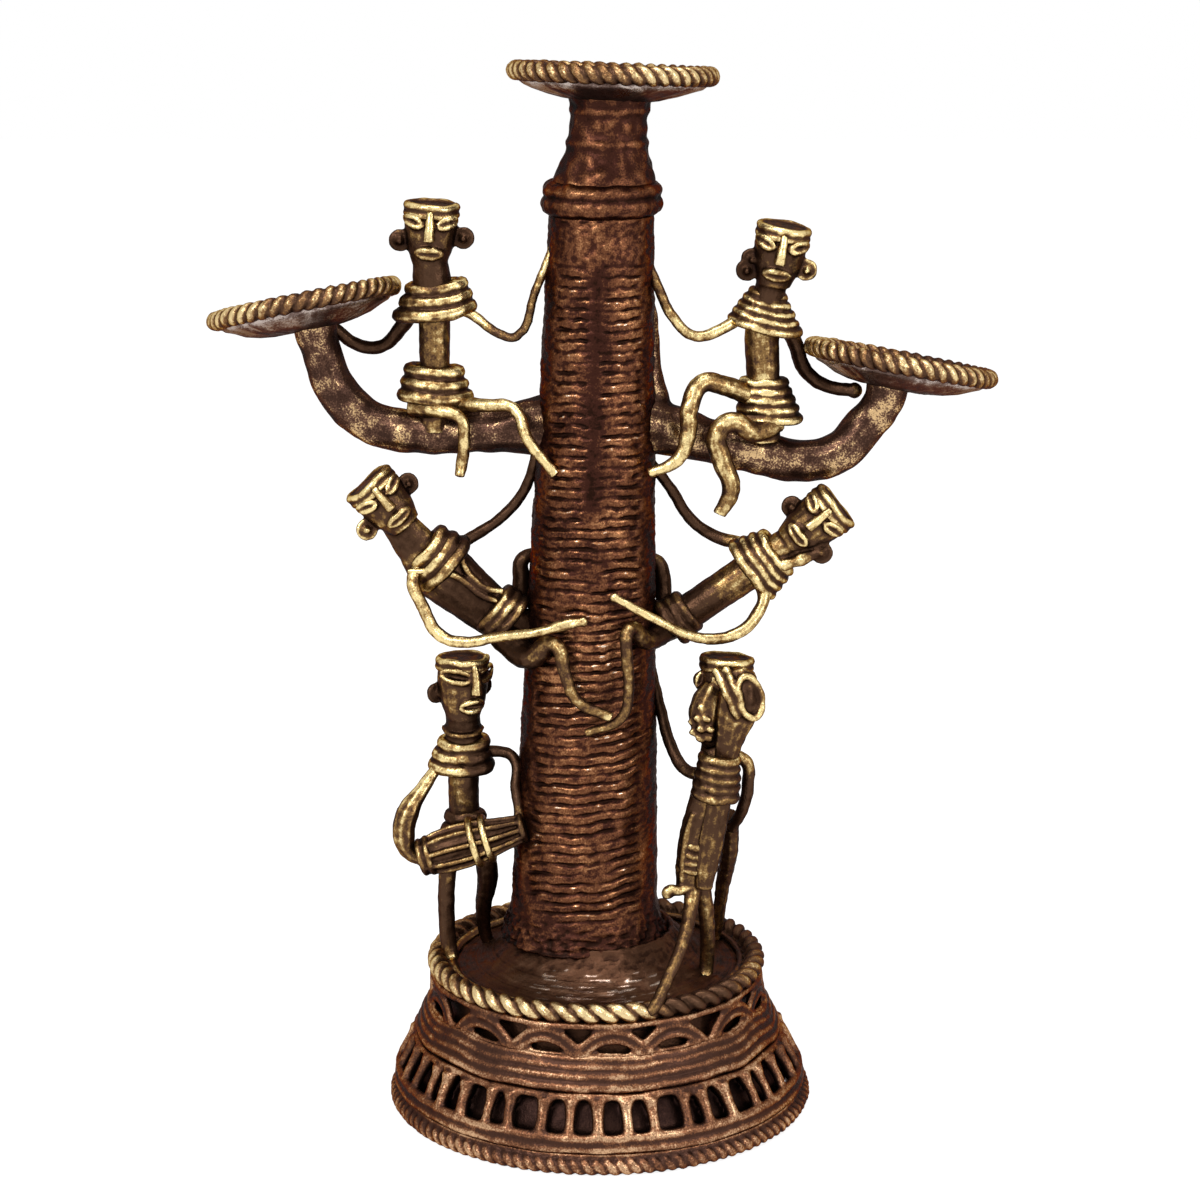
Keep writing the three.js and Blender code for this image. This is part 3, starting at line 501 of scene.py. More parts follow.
def makeRimRope():
    piece = bmesh.new()
    addWires(piece, ropeStrands(rimRope, base["lean"]), closed=True, steps=3)
    wire = rimRope["innerWire"]
    ring = []
    for i in range(60):
        angle = math.tau * i / 60
        reach = rimRope["radius"] - wire["inside"] + 0.25 * waver(angle * 4, 3, 1)
        height = rimRope["height"] - wire["below"] + 0.3 * waver(angle * 5, 1, 2)
        ring.append((leaned(reach * math.cos(angle), height), reach * math.sin(angle), height, 1.0))
    addWires(piece, [ring], closed=True, steps=3)
    addTurned(piece, rimRope["backing"], 96)
    made = fused(piece, "base_rope_rim", rimRope["voxel"], smooth=1)
    # Painted shade: the rope is darkened towards +X, on its right side.
    settle(made, brass["rope"], "rubbed_brass", base["heart"], "base_rope_rim",
           darkeningAndPaintedLight=lambda spots: 0.4 * ((spots[:, 0] - 5) / 18).clip(0, 1))


drumFloor = {
    "height": 41.5, "wall": 3.0, "rings": 40, "edge": 43, "ringStep": 0.5, "ridge": 0.12,
    "mound": 11.5, "moundWide": 20, "lip": [(44.6, 38.5), (44.6, 41.0), (43.4, 41.5)],
    "glintArcs": {"rows": 0.5, "share": 0.74, "halfAngle": 0.6, "reach": (28, 41), "paintedGlint": 1.5},
}


# Darker round the foot of the trunk, and painted glints: short bright arcs on rings of the turned floor in
# front, where it was scraped
def floorDarkeningAndGlints(spots):
    glintArcs = drumFloor["glintArcs"]
    reach = numpy.hypot(spots[:, 0], spots[:, 1])
    angle = numpy.arctan2(spots[:, 0], -spots[:, 1])
    ring = numpy.round(reach / glintArcs["rows"])
    cell = numpy.floor(angle * 7 + ring * 0.37)
    luck = (numpy.sin(ring * 12.99 + cell * 78.23) * 4375.85) % 1
    nearest, furthest = glintArcs["reach"]
    glinting = (luck > glintArcs["share"]) & (numpy.abs(angle) < glintArcs["halfAngle"])
    glinting &= (reach > nearest) & (reach < furthest)
    return 0.6 * ((32 - reach) / 7).clip(0, 1) - glintArcs["paintedGlint"] * glinting


def makeDrum():
    piece = bmesh.new()
    floor, edge, ridge = drumFloor["height"], drumFloor["edge"], drumFloor["ridge"]
    rings = []
    for i in range(1, drumFloor["rings"] + 1):
        reach = edge - drumFloor["ringStep"] * i
        rise = drumFloor["mound"] * ((edge - reach) / drumFloor["moundWide"]) ** 2.2
        rings.append((reach, floor + rise + ridge * (i % 2) + ridge * (i % 5 == 0)))
    under = floor - drumFloor["wall"]
    inside = [(22, 53), (22, under), (40.6, under), (46, 20), (52, 0.3)]
    addTurned(piece, [(55, 0.3), (54.6, 3)] + drumFloor["lip"] + rings + inside, 144)
    for vert in piece.verts:
        vert.co.x = leaned(vert.co.x, vert.co.z)
        nearTrunk = max(0.0, min(1.0, (31 - math.hypot(vert.co.x, vert.co.y) / mm) / 5))
        vert.co.z += 0.7 * nearTrunk * noise.noise(vert.co / (1.4 * mm)) * mm
    roughen(piece, 4.0, 0.35)
    roughen(piece, 1.2, 0.16)
    made = makeObject(piece, "base_drum")
    settle(made, brass["floor"], "patina_brass", base["heart"], "base_drum", darkeningAndPaintedLight=floorDarkeningAndGlints)


makeFootRope()
makePillarBand()
makeMidBands()
makeArchBand()
makeRimRope()
makeDrum()
print("base made")


# Column

column = {
    "footX": -4.9, "topX": 0.4, "foot": 50, "top": 262, "flareTop": 62,
    "footRadius": 21.4, "topRadius": 14.7,
    "inside": [(11.2, 258.5), (17.9, 62), (22.5, 51)],
    # The heart lies far behind the column: faces turned to the front, and by the back share its back, are
    # painted lighter and the sides darker, partly wear and partly painted shade.
    "heart": (0, 200, 160), "backWearAndLight": 0.8, "ringVoxel": 0.55,
}
# Widths of cuts and burrs are shares of the pitch, and half widths are angles from the front or the back
cuts = {
    "pitch": 2.95, "depth": 0.72, "width": 0.16, "from": 57, "to": 252, "slope": -1.6, "slopeUpTo": 150,
    "seamFrom": 178, "seamMiddle": -0.06, "seamHalf": 0.09, "upperHalf": 0.92, "rightHalf": 0.86,
    "leftHalf": 0.84, "leftWidening": 0.2, "seamDark": 0.8, "footDark": 0.2,
    "burr": {"height": 0.5, "paintedGlint": 3.4, "offset": 0.25, "width": 0.08},
}


def columnX(height):
    share = (height - column["foot"]) / (column["top"] - column["foot"])
    return column["footX"] + (column["topX"] - column["footX"]) * share


def trunkRadius(height):
    share = (height - column["flareTop"]) / (column["top"] - column["flareTop"])
    straight = column["footRadius"] + (column["topRadius"] - column["footRadius"]) * share
    flare = max(0.0, (column["flareTop"] + 2 - height) / 14)
    return straight + 3.0 * flare ** 2.0


# Flat bands between narrow cuts across the front and back, broken and uneven, and smooth at the sides.
# Returns how far a point moves out, and how bright a painted glint the burr on the lip of its cut gets.
def trunkRelief(angle, height):
    behind = abs(angle) > math.pi / 2
    aside = math.copysign(math.pi - abs(angle), angle) if behind else angle
    around = Vector((math.sin(angle), math.cos(angle), 0))
    wander = 1.0 * noise.noise(around * 2 + Vector((0, 0, height / 24)))
    wander += 0.5 * noise.noise(around * 8 + Vector((0, 0, height / 7)))
    slope = cuts["slope"] * aside if height < cuts["slopeUpTo"] else 0.0
    turns = (height + wander + slope) / cuts["pitch"]
    row = math.floor(turns) + (500 if behind else 0)
    offset = turns - math.floor(turns) - 0.5
    away = offset / cuts["width"]
    burr = math.exp(-((offset + cuts["burr"]["offset"]) / cuts["burr"]["width"]) ** 2)
    burr *= max(0.0, waver(row * 7.7, angle * 9, 4) - 0.02)
    strength = 0.85 + 1.1 * waver(row * 5.3, angle * 2.6, 1)
    strength = max(0.1, min(1.3, strength))
    shift = 0.16 * waver(row * 3.7, 9, 2)
    if height > cuts["seamFrom"]:
        middle = cuts["seamMiddle"] + 0.1 * waver(3, 3, height / 12)
        edge = cuts["upperHalf"] + shift - abs(aside)
        inside = min(edge, abs(aside - middle) - cuts["seamHalf"] + shift * 0.5)
    else:
        widening = cuts["leftWidening"] * min(1, (height - 60) / 90)
        limit = cuts["leftHalf"] + widening if aside < 0 else cuts["rightHalf"]
        inside = limit + shift - abs(aside)
    strength *= min(1.0, max(0.14, inside / 0.08))
    strength *= min(1.0, max(0.0, (height - cuts["from"]) / 8))
    strength *= min(1.0, max(0.0, (cuts["to"] - height) / 6))
    move = cuts["burr"]["height"] * burr - cuts["depth"] * math.exp(-away * away)
    return move * strength, cuts["burr"]["paintedGlint"] * burr * strength


# Darkens the smooth seam between the two columns of cuts, and the foot towards the floor
def trunkDarkening(spots):
    x, y, z = spots.T
    seam = (1 - numpy.abs(x - columnX(z) + 0.9) / 4.5).clip(0, 1)
    seam *= ((z - cuts["seamFrom"] + 2) / 6).clip(0, 1) * ((cuts["to"] - z) / 5).clip(0, 1)
    return cuts["seamDark"] * seam + cuts["footDark"] * ((64 - z) / 9).clip(0, 1)


def makeTrunk():
    piece = bmesh.new()
    foot, step = 51.0, 0.31
    rows = [foot + step * i for i in range(int((column["top"] - foot) / step) + 1)]
    outer = [(trunkRadius(height), height) for height in rows] + [(column["topRadius"], column["top"] + 0.9)]
    addTurned(piece, outer + column["inside"], 116)
    shine = numpy.zeros(len(piece.verts))
    for i, vert in enumerate(piece.verts):
        x, y, z = vert.co / mm
        reach = math.hypot(x, y)
        if reach > trunkRadius(z) - 1:
            out, shine[i] = trunkRelief(math.atan2(x, -y), z)
            vert.co += Vector((vert.co.x, vert.co.y, 0)) * out / reach
        rise = 1.1 * max(0.0, min(1.0, (61 - z) / 6)) * noise.noise(vert.co / (1.5 * mm))
        vert.co += Vector((x, y, 0)).normalized() * rise * mm
        vert.co.x += columnX(z) * mm
    roughen(piece, 5.0, 0.45)
    roughen(piece, 1.3, 0.22)
    made = makeObject(piece, "trunk")
    # Painted glints: the burrs' shine is taken off the darkening, so their lines reach the near-white glint
    # colour.
    darkening = trunkDarkening(numpy.array([vert.co / mm for vert in made.data.vertices])) - shine
    settle(made, brass["trunk"], "patina_brass", column["heart"], "trunk",
           darkeningAndPaintedLight=lambda spots: darkening, behind=column["backWearAndLight"])


# Short turned lengths of the column with their own rings. The neck leans further than the trunk.
columnRings = {
    "trunk_collar": {
        "shift": 0.0,
        "profile": [(6, 262.4), (15.0, 262.4), (16.6, 263.4), (17.2, 265.2), (16.9, 266.7), (15.9, 267.6),
                    (16.8, 268.4), (17.0, 269.6), (16.0, 271.0), (14.6, 271.8), (6, 271.8)],
    },
    "top_neck": {
        "shift": 1.9,
        "profile": [(4, 270.8), (14.6, 270.8), (14.4, 272.4), (13.4, 275), (12.2, 278), (11.3, 281),
                    (11.6, 282.4), (10.9, 284), (10.7, 290), (11.2, 291.2), (10.9, 292.6), (11.6, 294.4),
                    (12.6, 296.2), (4, 296.4)],
    },
}
neckReach = 34


def makeColumnRing(name, ring):
    piece = bmesh.new()
    addTurned(piece, ring["profile"], 72)
    for vert in piece.verts:
        height = vert.co.z / mm
        vert.co.x += (columnX(height) + ring["shift"] * (height - column["top"]) / neckReach) * mm
    made = fused(piece, name, column["ringVoxel"], smooth=1, rough=(3.5, 0.55))
    settle(made, brass["trunk"], "patina_brass", column["heart"], name, behind=column["backWearAndLight"])


makeTrunk()
for name, ring in columnRings.items():
    makeColumnRing(name, ring)
print("column made")


# Candle plates

plates = {
    "top": {"at": (3.6, 0, 301.2), "side": 2, "back": 3.2, "radius": 26.8, "handed": -1},
    "left": {"at": (-83.4, 3, 236.8), "side": -11.6, "back": 8.8, "radius": 25.2, "handed": 1},
    "right": {"at": (85.2, 3, 220), "side": 10.5, "back": 6.6, "radius": 25.2, "handed": -1},
}
plateRope = {"height": 0, "thickness": 2.8, "strands": 46, "strand": 0.58, "voxel": 0.4}
# The dish's outline runs from the middle of its underside, round the lip, to the middle of its floor.
# The lip is measured inwards from the rope's radius.
dishForm = {
    "hub": [(0, -7.6), (6, -7.6), (10, -7.4), (14, -6.8), (18, -5.8)],
    "lip": [(4.0, -4.4), (1.8, -3.6), (0.7, -2.6), (1.4, -1.2), (2.9, -0.9), (4.6, -1.5)],
    "floorRadius": 18, "floor": -2.3, "ridge": 0.12, "streak": 0.5,
}


def plateMatrix(plate):
    turn = Matrix.Rotation(math.radians(-plate["back"]), 4, "X")
    turn = turn @ Matrix.Rotation(math.radians(plate["side"]), 4, "Y")
    return Matrix.Translation(Vector(plate["at"]) * mm) @ turn


# Darker within 19 mm of a plate's middle, round the stem under it, and streaks that run out from it
def plateDarkening(place):
    inverse = numpy.array(place.inverted())

    def darkeningAndPaintedLight(spots):
        flat = (spots * mm) @ inverse[:3, :3].T + inverse[:3, 3]
        x, y = flat[:, 0] / mm, flat[:, 1] / mm
        reach, angle = numpy.hypot(x, y), numpy.arctan2(y, x)
        streaks = numpy.sin(angle * 31 + 3 * numpy.sin(angle * 7)) * numpy.sin(angle * 47 + reach * 0.1)
        return 0.7 * ((19 - reach) / 9).clip(0, 1) + 0.35 * streaks
    return darkeningAndPaintedLight


def makePlate(side, plate):
    place = plateMatrix(plate)
    radius = plate["radius"]
    piece = bmesh.new()
    addWires(piece, ropeStrands({**plateRope, **plate}), closed=True, steps=3)
    bmesh.ops.transform(piece, matrix=place, verts=piece.verts)
    rope = fused(piece, side + "_plate_rope", plateRope["voxel"], smooth=1, rough=(2.5, 0.15))
    heart = place @ Vector((0, 0, -15 * mm)) / mm
    settle(rope, brass["rope"], "rubbed_brass", heart, side + "_plate_rope")

    dish = bmesh.new()
    lip = [(radius - inwards, height) for inwards, height in dishForm["lip"]]
    floor = [(dishForm["floorRadius"] - 1.5 * i, dishForm["floor"] - dishForm["ridge"] * (i % 2))
             for i in range(12)]
    addTurned(dish, dishForm["hub"] + lip + floor + [(0, -2.4)], 96, closed=False)
    for vert in dish.verts:
        reach = math.hypot(vert.co.x, vert.co.y) / mm
        if vert.co.z < -2.6 * mm and reach > 8:
            streak = waver(math.atan2(vert.co.y, vert.co.x) * 9, 2, reach / 12)
            vert.co.z += dishForm["streak"] * streak * mm
    bmesh.ops.transform(dish, matrix=place, verts=dish.verts)
    roughen(dish, 3.0, 0.25)
    made = makeObject(dish, side + "_plate")
    # The heart lies above the dish, so its underside is painted lighter as the pale sheen on it, and its top
    # by the back share.
    settle(made, brass["plate"], "patina_brass", place @ Vector((0, 0, 12 * mm)) / mm, side + "_plate",
           darkeningAndPaintedLight=plateDarkening(place), behind=column["backWearAndLight"])


for side, plate in plates.items():
    makePlate(side, plate)
print("plates made")


# Branches: smooth bars that swell into the trunk and turn up under their plates

branches = {
    "left": [(-1, 0, 203, 13), (-9, 1, 202.5, 11.5), (-17, 2, 202, 8.8), (-26, 2.5, 201.2, 7.0),
             (-34, 3, 200.5, 6.4), (-54, 4, 200, 6.3), (-67, 5, 203.5, 6.3), (-75, 5, 212, 6.0),
             (-79, 4, 223, 5.7), (-81, 2.5, 232.5, 6.4)],
    "right": [(-1, 0, 203, 11.5), (8, 1, 202.6, 10.2), (17, 2, 201.5, 7.8), (31, 3, 197.5, 6.3),
              (46, 4, 193.5, 6.2), (59, 5, 191.3, 6.2), (68, 5, 193.5, 6.2), (75, 5, 201, 5.9),
              (80, 4, 207.5, 5.7), (82.3, 2.6, 215.5, 6.2)],
}
branchWebs = {  # thin fins of metal in the crotch between trunk and branch
    "left": [],
    "right": [[(13.2, 3, 240, 1.4), (14.0, 3, 232, 2.5), (14.6, 3, 219, 3.0), (16.5, 3, 206, 4.4),
               (18, 3, 201, 5)]],
}
branchVoxel = 0.7

for side, route in branches.items():
    piece = bmesh.new()
    addWires(piece, [route, *branchWebs[side]], steps=6, sides=6)
    made = fused(piece, side + "_branch", branchVoxel, smooth=1, rough=(5.0, 0.5))
    settle(made, brass["smooth"], "patina_brass", column["heart"], side + "_branch",
           behind=column["backWearAndLight"])
print("branches made")


# Figures: wire people, each written from its own spot

figures = {
    "upper_left_sitter": {
        "spot": (-47.3, 1.6, 202.7), "facing": 0,
        "torso": [(0.5, 0, -2, 4.8), (0.5, 0, 8, 4.6), (0.5, 0, 16, 4.3), (0.5, 0, 34, 4.6),
                  (0.2, -1.4, 40, 5.6), (-0.4, -2.3, 48, 4.8)],
        "darkeningAndPaintedLight": [(0.5, -3, 42, 6, 0.7), (-8.4, -2.5, 52.6, 6, 0.8), (9.0, -2.5, 53.2, 6, 0.8),
                 (-17, 7, 23, 16, 0.9), (0, 4, 0, 9, 0.8),
                 (26, -6, 30, 15, 0.5)],
        "chin": (-0.5, -2.5, 45.5), "crown": (0.5, -3, 62.5),
        "ears": [(-8.6, -2.5, 52.6), (9.2, -2.5, 53.2)],
        "shawl": {"from": (0.5, 0, 30.6), "to": (1.5, -0.5, 41), "radii": (12.8, 8.2),
                  "count": 3, "tilt": 0.22},
        "loincloth": {"from": (0.5, 0, 6.4), "to": (0.5, 0, 17), "radii": (11.6, 8.4),
                      "count": 3, "tilt": -0.05},
        "legs": [
            [(-6, -1, 5, 2.8), (1.5, -6.5, 5, 2.3), (8, -8.5, 3, 1.8), (9, -8.7, -2, 1.8),
             (8.3, -8.2, -10, 1.8), (7.6, -9.6, -13.5, 1.5)],
            [(4, -1, 6, 2.6), (15, -7.5, 6.5, 2.0), (23, -9.5, 6, 1.8), (27, -13, -2, 1.7),
             (32, -13.7, -8.5, 1.6), (35, -14.5, -12, 1.6)],
        ],
        "arms": {
            "trunk": [(6, 0, 34, 2.0), (12, -2, 31, 1.6), (19, -5, 26.5, 1.4), (24, -6, 26, 1.4),
                      (29, -5.5, 38, 1.3), (34, -4, 50, 1.4)],
            "plate": [(-5, 0, 33, 2.6), (-9, 4, 27, 2.2), (-15, 7, 21, 2.0), (-21, 8, 21, 2.0),
                      (-29, 6, 27, 1.9)],
        },
    },
    "upper_right_sitter": {
        "spot": (45.7, 2.0, 200.6), "facing": 0,
        "torso": [(0.5, 0, -3, 5.2), (0.5, 0, 14, 4.8), (0.5, 0, 34, 5.0), (1.8, -1.4, 39, 4.6),
                  (3.0, -2.4, 45, 4.2)],
        "darkeningAndPaintedLight": [(2, -2, 41, 6, 0.6), (-3.2, -3, 49.5, 5, 0.9), (-4.6, -3, 46.4, 6, 0.9),
                 (15, 7, 15, 17, 1.0), (3, 4, -2, 9, 0.8),
                 (-30, -4, 44, 12, 0.4)],
        "chin": (2.8, -2.5, 42), "crown": (5.8, -4, 58.5),
        "ears": [(-3.2, -3, 49.5), (12, -3.5, 46.5), (-4.6, -3, 46.4)],
        "shawl": {"from": (0.8, 0, 29.3), "to": (1.6, -1, 40.2), "radii": (11.6, 5.2),
                  "count": 5, "tilt": -0.16},
        "loincloth": {"from": (2.6, 0, 2.4), "to": (0.6, 0, 15.5), "radii": (10.0, 6.8),
                      "count": 5, "tilt": -0.18},
        "legs": [
            [(-1, 0, 9, 3.2), (-11, -6, 14, 2.9), (-17, -8.5, 15, 2.8), (-20.5, -11, 9, 2.7),
             (-21, -12, 1, 2.5), (-24, -13, -6, 2.0), (-32, -12, -10, 1.4)],
            [(5, -3, 3, 2.8), (-2.5, -8.5, 1, 2.9), (-8.5, -10.5, 4.5, 2.9), (-12.8, -11, 1, 3.0),
             (-11.5, -11, -6, 3.0), (-8.7, -11, -15, 2.7), (-12, -11.5, -22, 2.0)],
        ],
        "arms": {
            "trunk": [(-4, 0, 34, 2.0), (-12, -4, 29.5, 1.8), (-19, -6, 28, 1.6), (-25, -6, 33, 1.6),
                      (-30, -5, 43, 1.5), (-34, -4, 52, 1.5)],
            "plate": [(5, 0, 33, 2.6), (9.5, 4, 25, 2.3), (13, 7, 16, 2.2), (19, 8, 11.5, 2.1),
                      (27, 6, 10.5, 2.0)],
        },
    },
    "left_climber": {
        "spot": (-21.7, 0, 136), "facing": 12,
        "torso": [(3, -2, 5, 5.8), (-6, -2, 10, 6.8), (-16, -2.4, 18, 8.0), (-25, -3, 26, 9.4),
                  (-30.5, -4.2, 32, 6.2), (-36.5, -5.2, 40, 4.8)],
        "torsoDepth": 0.68,
        "cords": [
            [(-32.9, -8, 25.8, 1.0), (-22.3, -9.4, 25.8, 1.1), (-16.7, -8.8, 22.9, 1.0),
             (-12.5, -8.2, 19.1, 1.0), (-7.5, -7.5, 16.8, 0.9)],
            [(-18.6, -7, 33.4, 1.0), (-17.5, -7.6, 29.1, 1.0), (-15.3, -7.8, 24.7, 1.0),
             (-11.1, -7.6, 20.9, 1.0), (-5.8, -7, 19.5, 0.9)],
        ],
        "darkeningAndPaintedLight": [(-6, 3, 42, 24, 0.9), (-16, -3, 17, 12, 0.7), (-3, 6, 18, 14, 0.9),
                 (-33, -3, 50.3, 6, 0.9), (-2, -8, 3, 12, 0.9),
                 (12, -22, -3, 18, 0.35), (-33, -5, 35, 6, 0.6)],
        "chin": (-33.5, -5.2, 38.5), "crown": (-44, -6, 51),
        "ears": [(-44.6, -6, 37.6), (-33, -3, 50.3)],
        "shawl": {"from": (-21.5, -3, 25.5), "to": (-28.5, -4, 33), "radii": (11.2, 7.2),
                  "count": 3, "depth": 0.82, "tilt": 0.1},
        "loincloth": {"from": (-3.5, -2, 9.5), "to": (-9.5, -2, 14.5), "radii": (9.0, 8.0),
                      "count": 3, "depth": 0.95},
        "legs": [
            [(-6, -3, 6, 5), (2, -14, 2, 3.6), (9, -20, 7.5, 2.4), (12, -22.5, -1, 1.8),
             (15, -23, -8, 1.7), (25, -24, -13, 1.5)],
            [(-5, 1, 7, 2.8), (-1.8, 4, 13, 2.8), (-1.0, 5, 20, 2.6), (-0.8, 5, 26, 2.3), (3, 6, 28, 1.8)],
        ],
        "arms": {
            "front": [(-28, -5, 28, 2.2), (-31.5, -8, 24, 2.0), (-28.5, -11, 16, 1.9),
                      (-24, -13, 8.5, 1.9), (-18, -15, 6.8, 1.8), (-6.5, -17.5, 9, 1.6),
                      (5, -21.5, 11.5, 1.4), (12, -21, 13.4, 1.8), (17, -20, 14, 1.2)],
            "back": [(-23, 0, 29.5, 2.2), (-14, 3, 34, 1.8), (-6, 3.5, 39.5, 1.7), (0, 3, 47, 1.6),
                     (3.5, 1, 57, 1.6)],
        },
    },
    "right_climber": {
        "spot": (16.1, 0, 140), "facing": -12,
        "torso": [(-3, -2, 2, 5.0), (7, -2, 7, 5.2), (18, -2.5, 14.6, 5.2), (29, -3, 22.5, 5.4),
                  (35, -4.2, 27.4, 4.8), (40.5, -5.3, 31.5, 4.2)],
        "cords": [
            [(33.6, -8, 23.0, 1.3), (36, -8.8, 23.8, 2.1), (38.5, -9.2, 24.6, 1.5), (41, -9.2, 25.6, 2.2),
             (44, -9, 26.8, 1.6),
             (46.5, -8.6, 27.8, 2.1), (49.1, -8, 28.8, 1.3)],
        ],
        "darkeningAndPaintedLight": [(6, 3, 38, 20, 0.8), (12, -2, 9, 12, 0.5), (3, 6, 14, 12, 0.9), (3, -8, 4, 10, 0.8),
                 (-8, -23, -8, 20, 0.45),
                 (38.6, -3, 39.6, 6, 0.8), (47, -8, 27.2, 6, 0.6)],
        "chin": (37.5, -5.2, 29.5), "crown": (51, -6, 40.5),
        "ears": [(38.6, -3, 39.6), (47, -8, 27.2)],
        "shawl": {"from": (26.5, -3, 20.5), "to": (35, -4, 27), "radii": (11.0, 7.8),
                  "count": 4, "depth": 0.85},
        "loincloth": {"from": (3.5, -2, 4.5), "to": (10, -2, 9.5), "radii": (8.0, 6.6),
                      "count": 3, "depth": 0.95},
        "legs": [
            [(4, -3, 4, 3.6), (-3, -14, 3, 2.8), (-8, -21, 8, 2.0), (-8.5, -23, 0, 1.7),
             (-8, -23.5, -9, 1.6), (-10, -24, -17, 1.5), (-20, -22, -22, 1.3)],
            [(4, 1, 5, 2.8), (2.4, 4, 11, 2.5), (2.0, 5, 17, 2.4), (0.6, 5, 21.5, 2.1), (-3, 6, 22.5, 1.8)],
        ],
        "arms": {
            "front": [(28, -5, 20, 2.2), (30.5, -9, 15, 2.0), (28.5, -11.5, 10, 1.9),
                      (24.5, -13.5, 6, 1.9), (18, -15.5, 4, 1.8), (10, -17, 5, 1.6),
                      (0, -20.5, 10.5, 1.4), (-12, -20, 17, 1.2)],
            "back": [(26, 0, 27.5, 2.2), (16, 3, 30, 1.9), (9.5, 3.5, 35, 1.8), (4.5, 3, 43, 1.7),
                     (-2, 1, 52, 1.6)],
        },
    },
    "drummer": {
        "spot": (-40, -2, 42.5), "facing": 32, "bold": 1.45, "raised": 0.03,
        "torso": [(0.5, 2, 30, 4.8), (0.2, 2, 46, 4.5), (0.2, 1, 60, 4.6), (0.2, 1, 68, 5.2),
                  (0.3, -0.4, 77, 5.0)],
        "cords": [[(-5.4, 1, 71.2, 0.8), (-3.6, -3.8, 70.4, 0.8), (0.3, -5.4, 70.2, 0.8),
                   (4.2, -3.8, 70.4, 0.8), (5.8, 1, 71.2, 0.8)]],
        "darkeningAndPaintedLight": [(0.3, -1, 72, 7, 0.6), (-7.6, 0, 82, 6, 0.9), (8.4, 0.5, 83, 6, 0.9),
                 (13, 0, 57, 15, 0.9), (1, 2, 40, 11, 0.8),
                 (-5, 1, 20, 16, 0.45), (6, 8, 16, 20, 0.9), (18, -9, 44, 14, 0.5), (0, -14, 38, 20, 0.3)],
        "chin": (0.3, -1, 74.5), "crown": (0.5, -1, 92.5),
        "ears": [(-7.6, 0, 82), (5.4, 4.4, 83)],
        "shawl": {"from": (-0.5, 2, 58.0), "to": (0.6, 1, 68.2), "radii": (10.4, 7.6),
                  "count": 3, "depth": 0.75, "tilt": 0.12},
        "loincloth": {"from": (1, 2, 33.5), "to": (0.5, 2, 46), "radii": (9.0, 6.0),
                      "count": 3},
        "legs": [
            [(-3.5, 1, 36, 3.0), (-5, 1, 24, 2.6), (-5.2, 1, 12, 2.5), (-4.4, 1, 2.5, 2.4),
             (-4, 0, 0, 2.2)],
            [(5.5, 2, 36, 3.4), (6.8, 5, 24, 3.2), (5.3, 10, 13, 2.4), (6.0, 14, 2, 1.9),
             (7.2, 14, -0.6, 1.7)],
        ],
        "arms": {
            "left": [(-4, 1, 62, 1.9), (-7.5, -1, 59, 1.7), (-12, -5, 53.4, 2.3), (-15.6, -8, 48, 3.5),
                     (-16.8, -9, 41, 3.4), (-15.4, -9, 36.5, 2.5), (-11, -9, 34, 2.0)],
            "right": [(4, 1, 63, 2.0), (10, 2, 63.5, 1.8), (15, 0, 62, 1.7), (15.5, -4, 54, 1.6),
                      (16.5, -7, 46, 1.6), (15, -9, 42, 1.5)],
        },
    },
    "horn_player": {
        "spot": (30, -16, 42.5), "facing": 38,
        "torso": [(-4.6, -4, 29, 3.6), (-4.1, -4, 36, 4.2), (-2.8, -4, 45, 4.4), (-0.4, -4, 54, 4.4),
                  (2.0, -3, 63, 4.7),
                  (3.8, -1.4, 71, 4.8), (4.6, 0, 77, 5.2)],
        "cords": [
            [(2.4, -4, 89, 3.0), (0.6, -5, 85, 4.6), (-0.4, -5.4, 80.5, 4.9), (0.2, -5.2, 76, 3.9),
             (2, -4.6, 72, 2.4)],
            *[[(x, y, z, 1.0), (x + 0.9, y - 0.2, z - 0.7, 1.1),
               (x + 1.9, y, z - 1.0, 0.9)] for x, y, z in (
                (-4.2, -6.6, 83), (-2.2, -8.4, 84.2), (-4.8, -7.0, 79.8), (-3.2, -8.8, 81.2),
                (-0.8, -9.6, 81.4),
                (-4.4, -7.4, 76.8), (-2.4, -9.1, 78.2), (0.2, -9.4, 78.2), (-2.6, -7.9, 75.0),
                (-0.2, -8.3, 75.4))],
            [(-3.4, -7.4, 52, 1.0), (-5.2, -7.4, 45, 1.3), (-6.2, -7, 37, 1.2), (-6.4, -6.6, 29, 1.0)],
            [(-3.6, -6, 30, 1.7), (-7.6, -7.6, 29.0, 1.7), (-10.6, -8.4, 29, 1.8),
             (-10.6, -8.4, 27.0, 1.5)],
        ],
        "darkeningAndPaintedLight": [(0, -6, 24, 46, 0.22), (-12, 14, 76, 24, 0.9), (9, 4, 50, 18, 0.6),
                 (12.6, -11, 87.4, 3.4, 0.6),
                 (3, -8, 63, 16, 0.3), (-11, -22, 9, 28, 0.55)],
        "chin": (4.7, 0, 73.5), "crown": (6, 1, 95.5),
        "ears": [(-1.2, 0, 89.5), (11, 1.5, 85)],
        "shawl": {"from": (2.7, -5.8, 56.0), "to": (4.1, -5.8, 69.4), "radii": (7.3, 6.3),
                  "count": 5, "depth": 0.98},
        "loincloth": {"from": (-3.6, -4, 33.5), "to": (-2.6, -4, 43), "radii": (5.0, 4.9),
                      "count": 4, "depth": 1},
        "legs": [
            [(-3, -3, 34, 2.8), (-4, -8, 24, 2.2), (-7, -17, 15, 1.9), (-12, -25, 6, 1.8),
             (-14.5, -29, 2, 1.9), (-16.5, -30.5, 0.4, 1.4)],
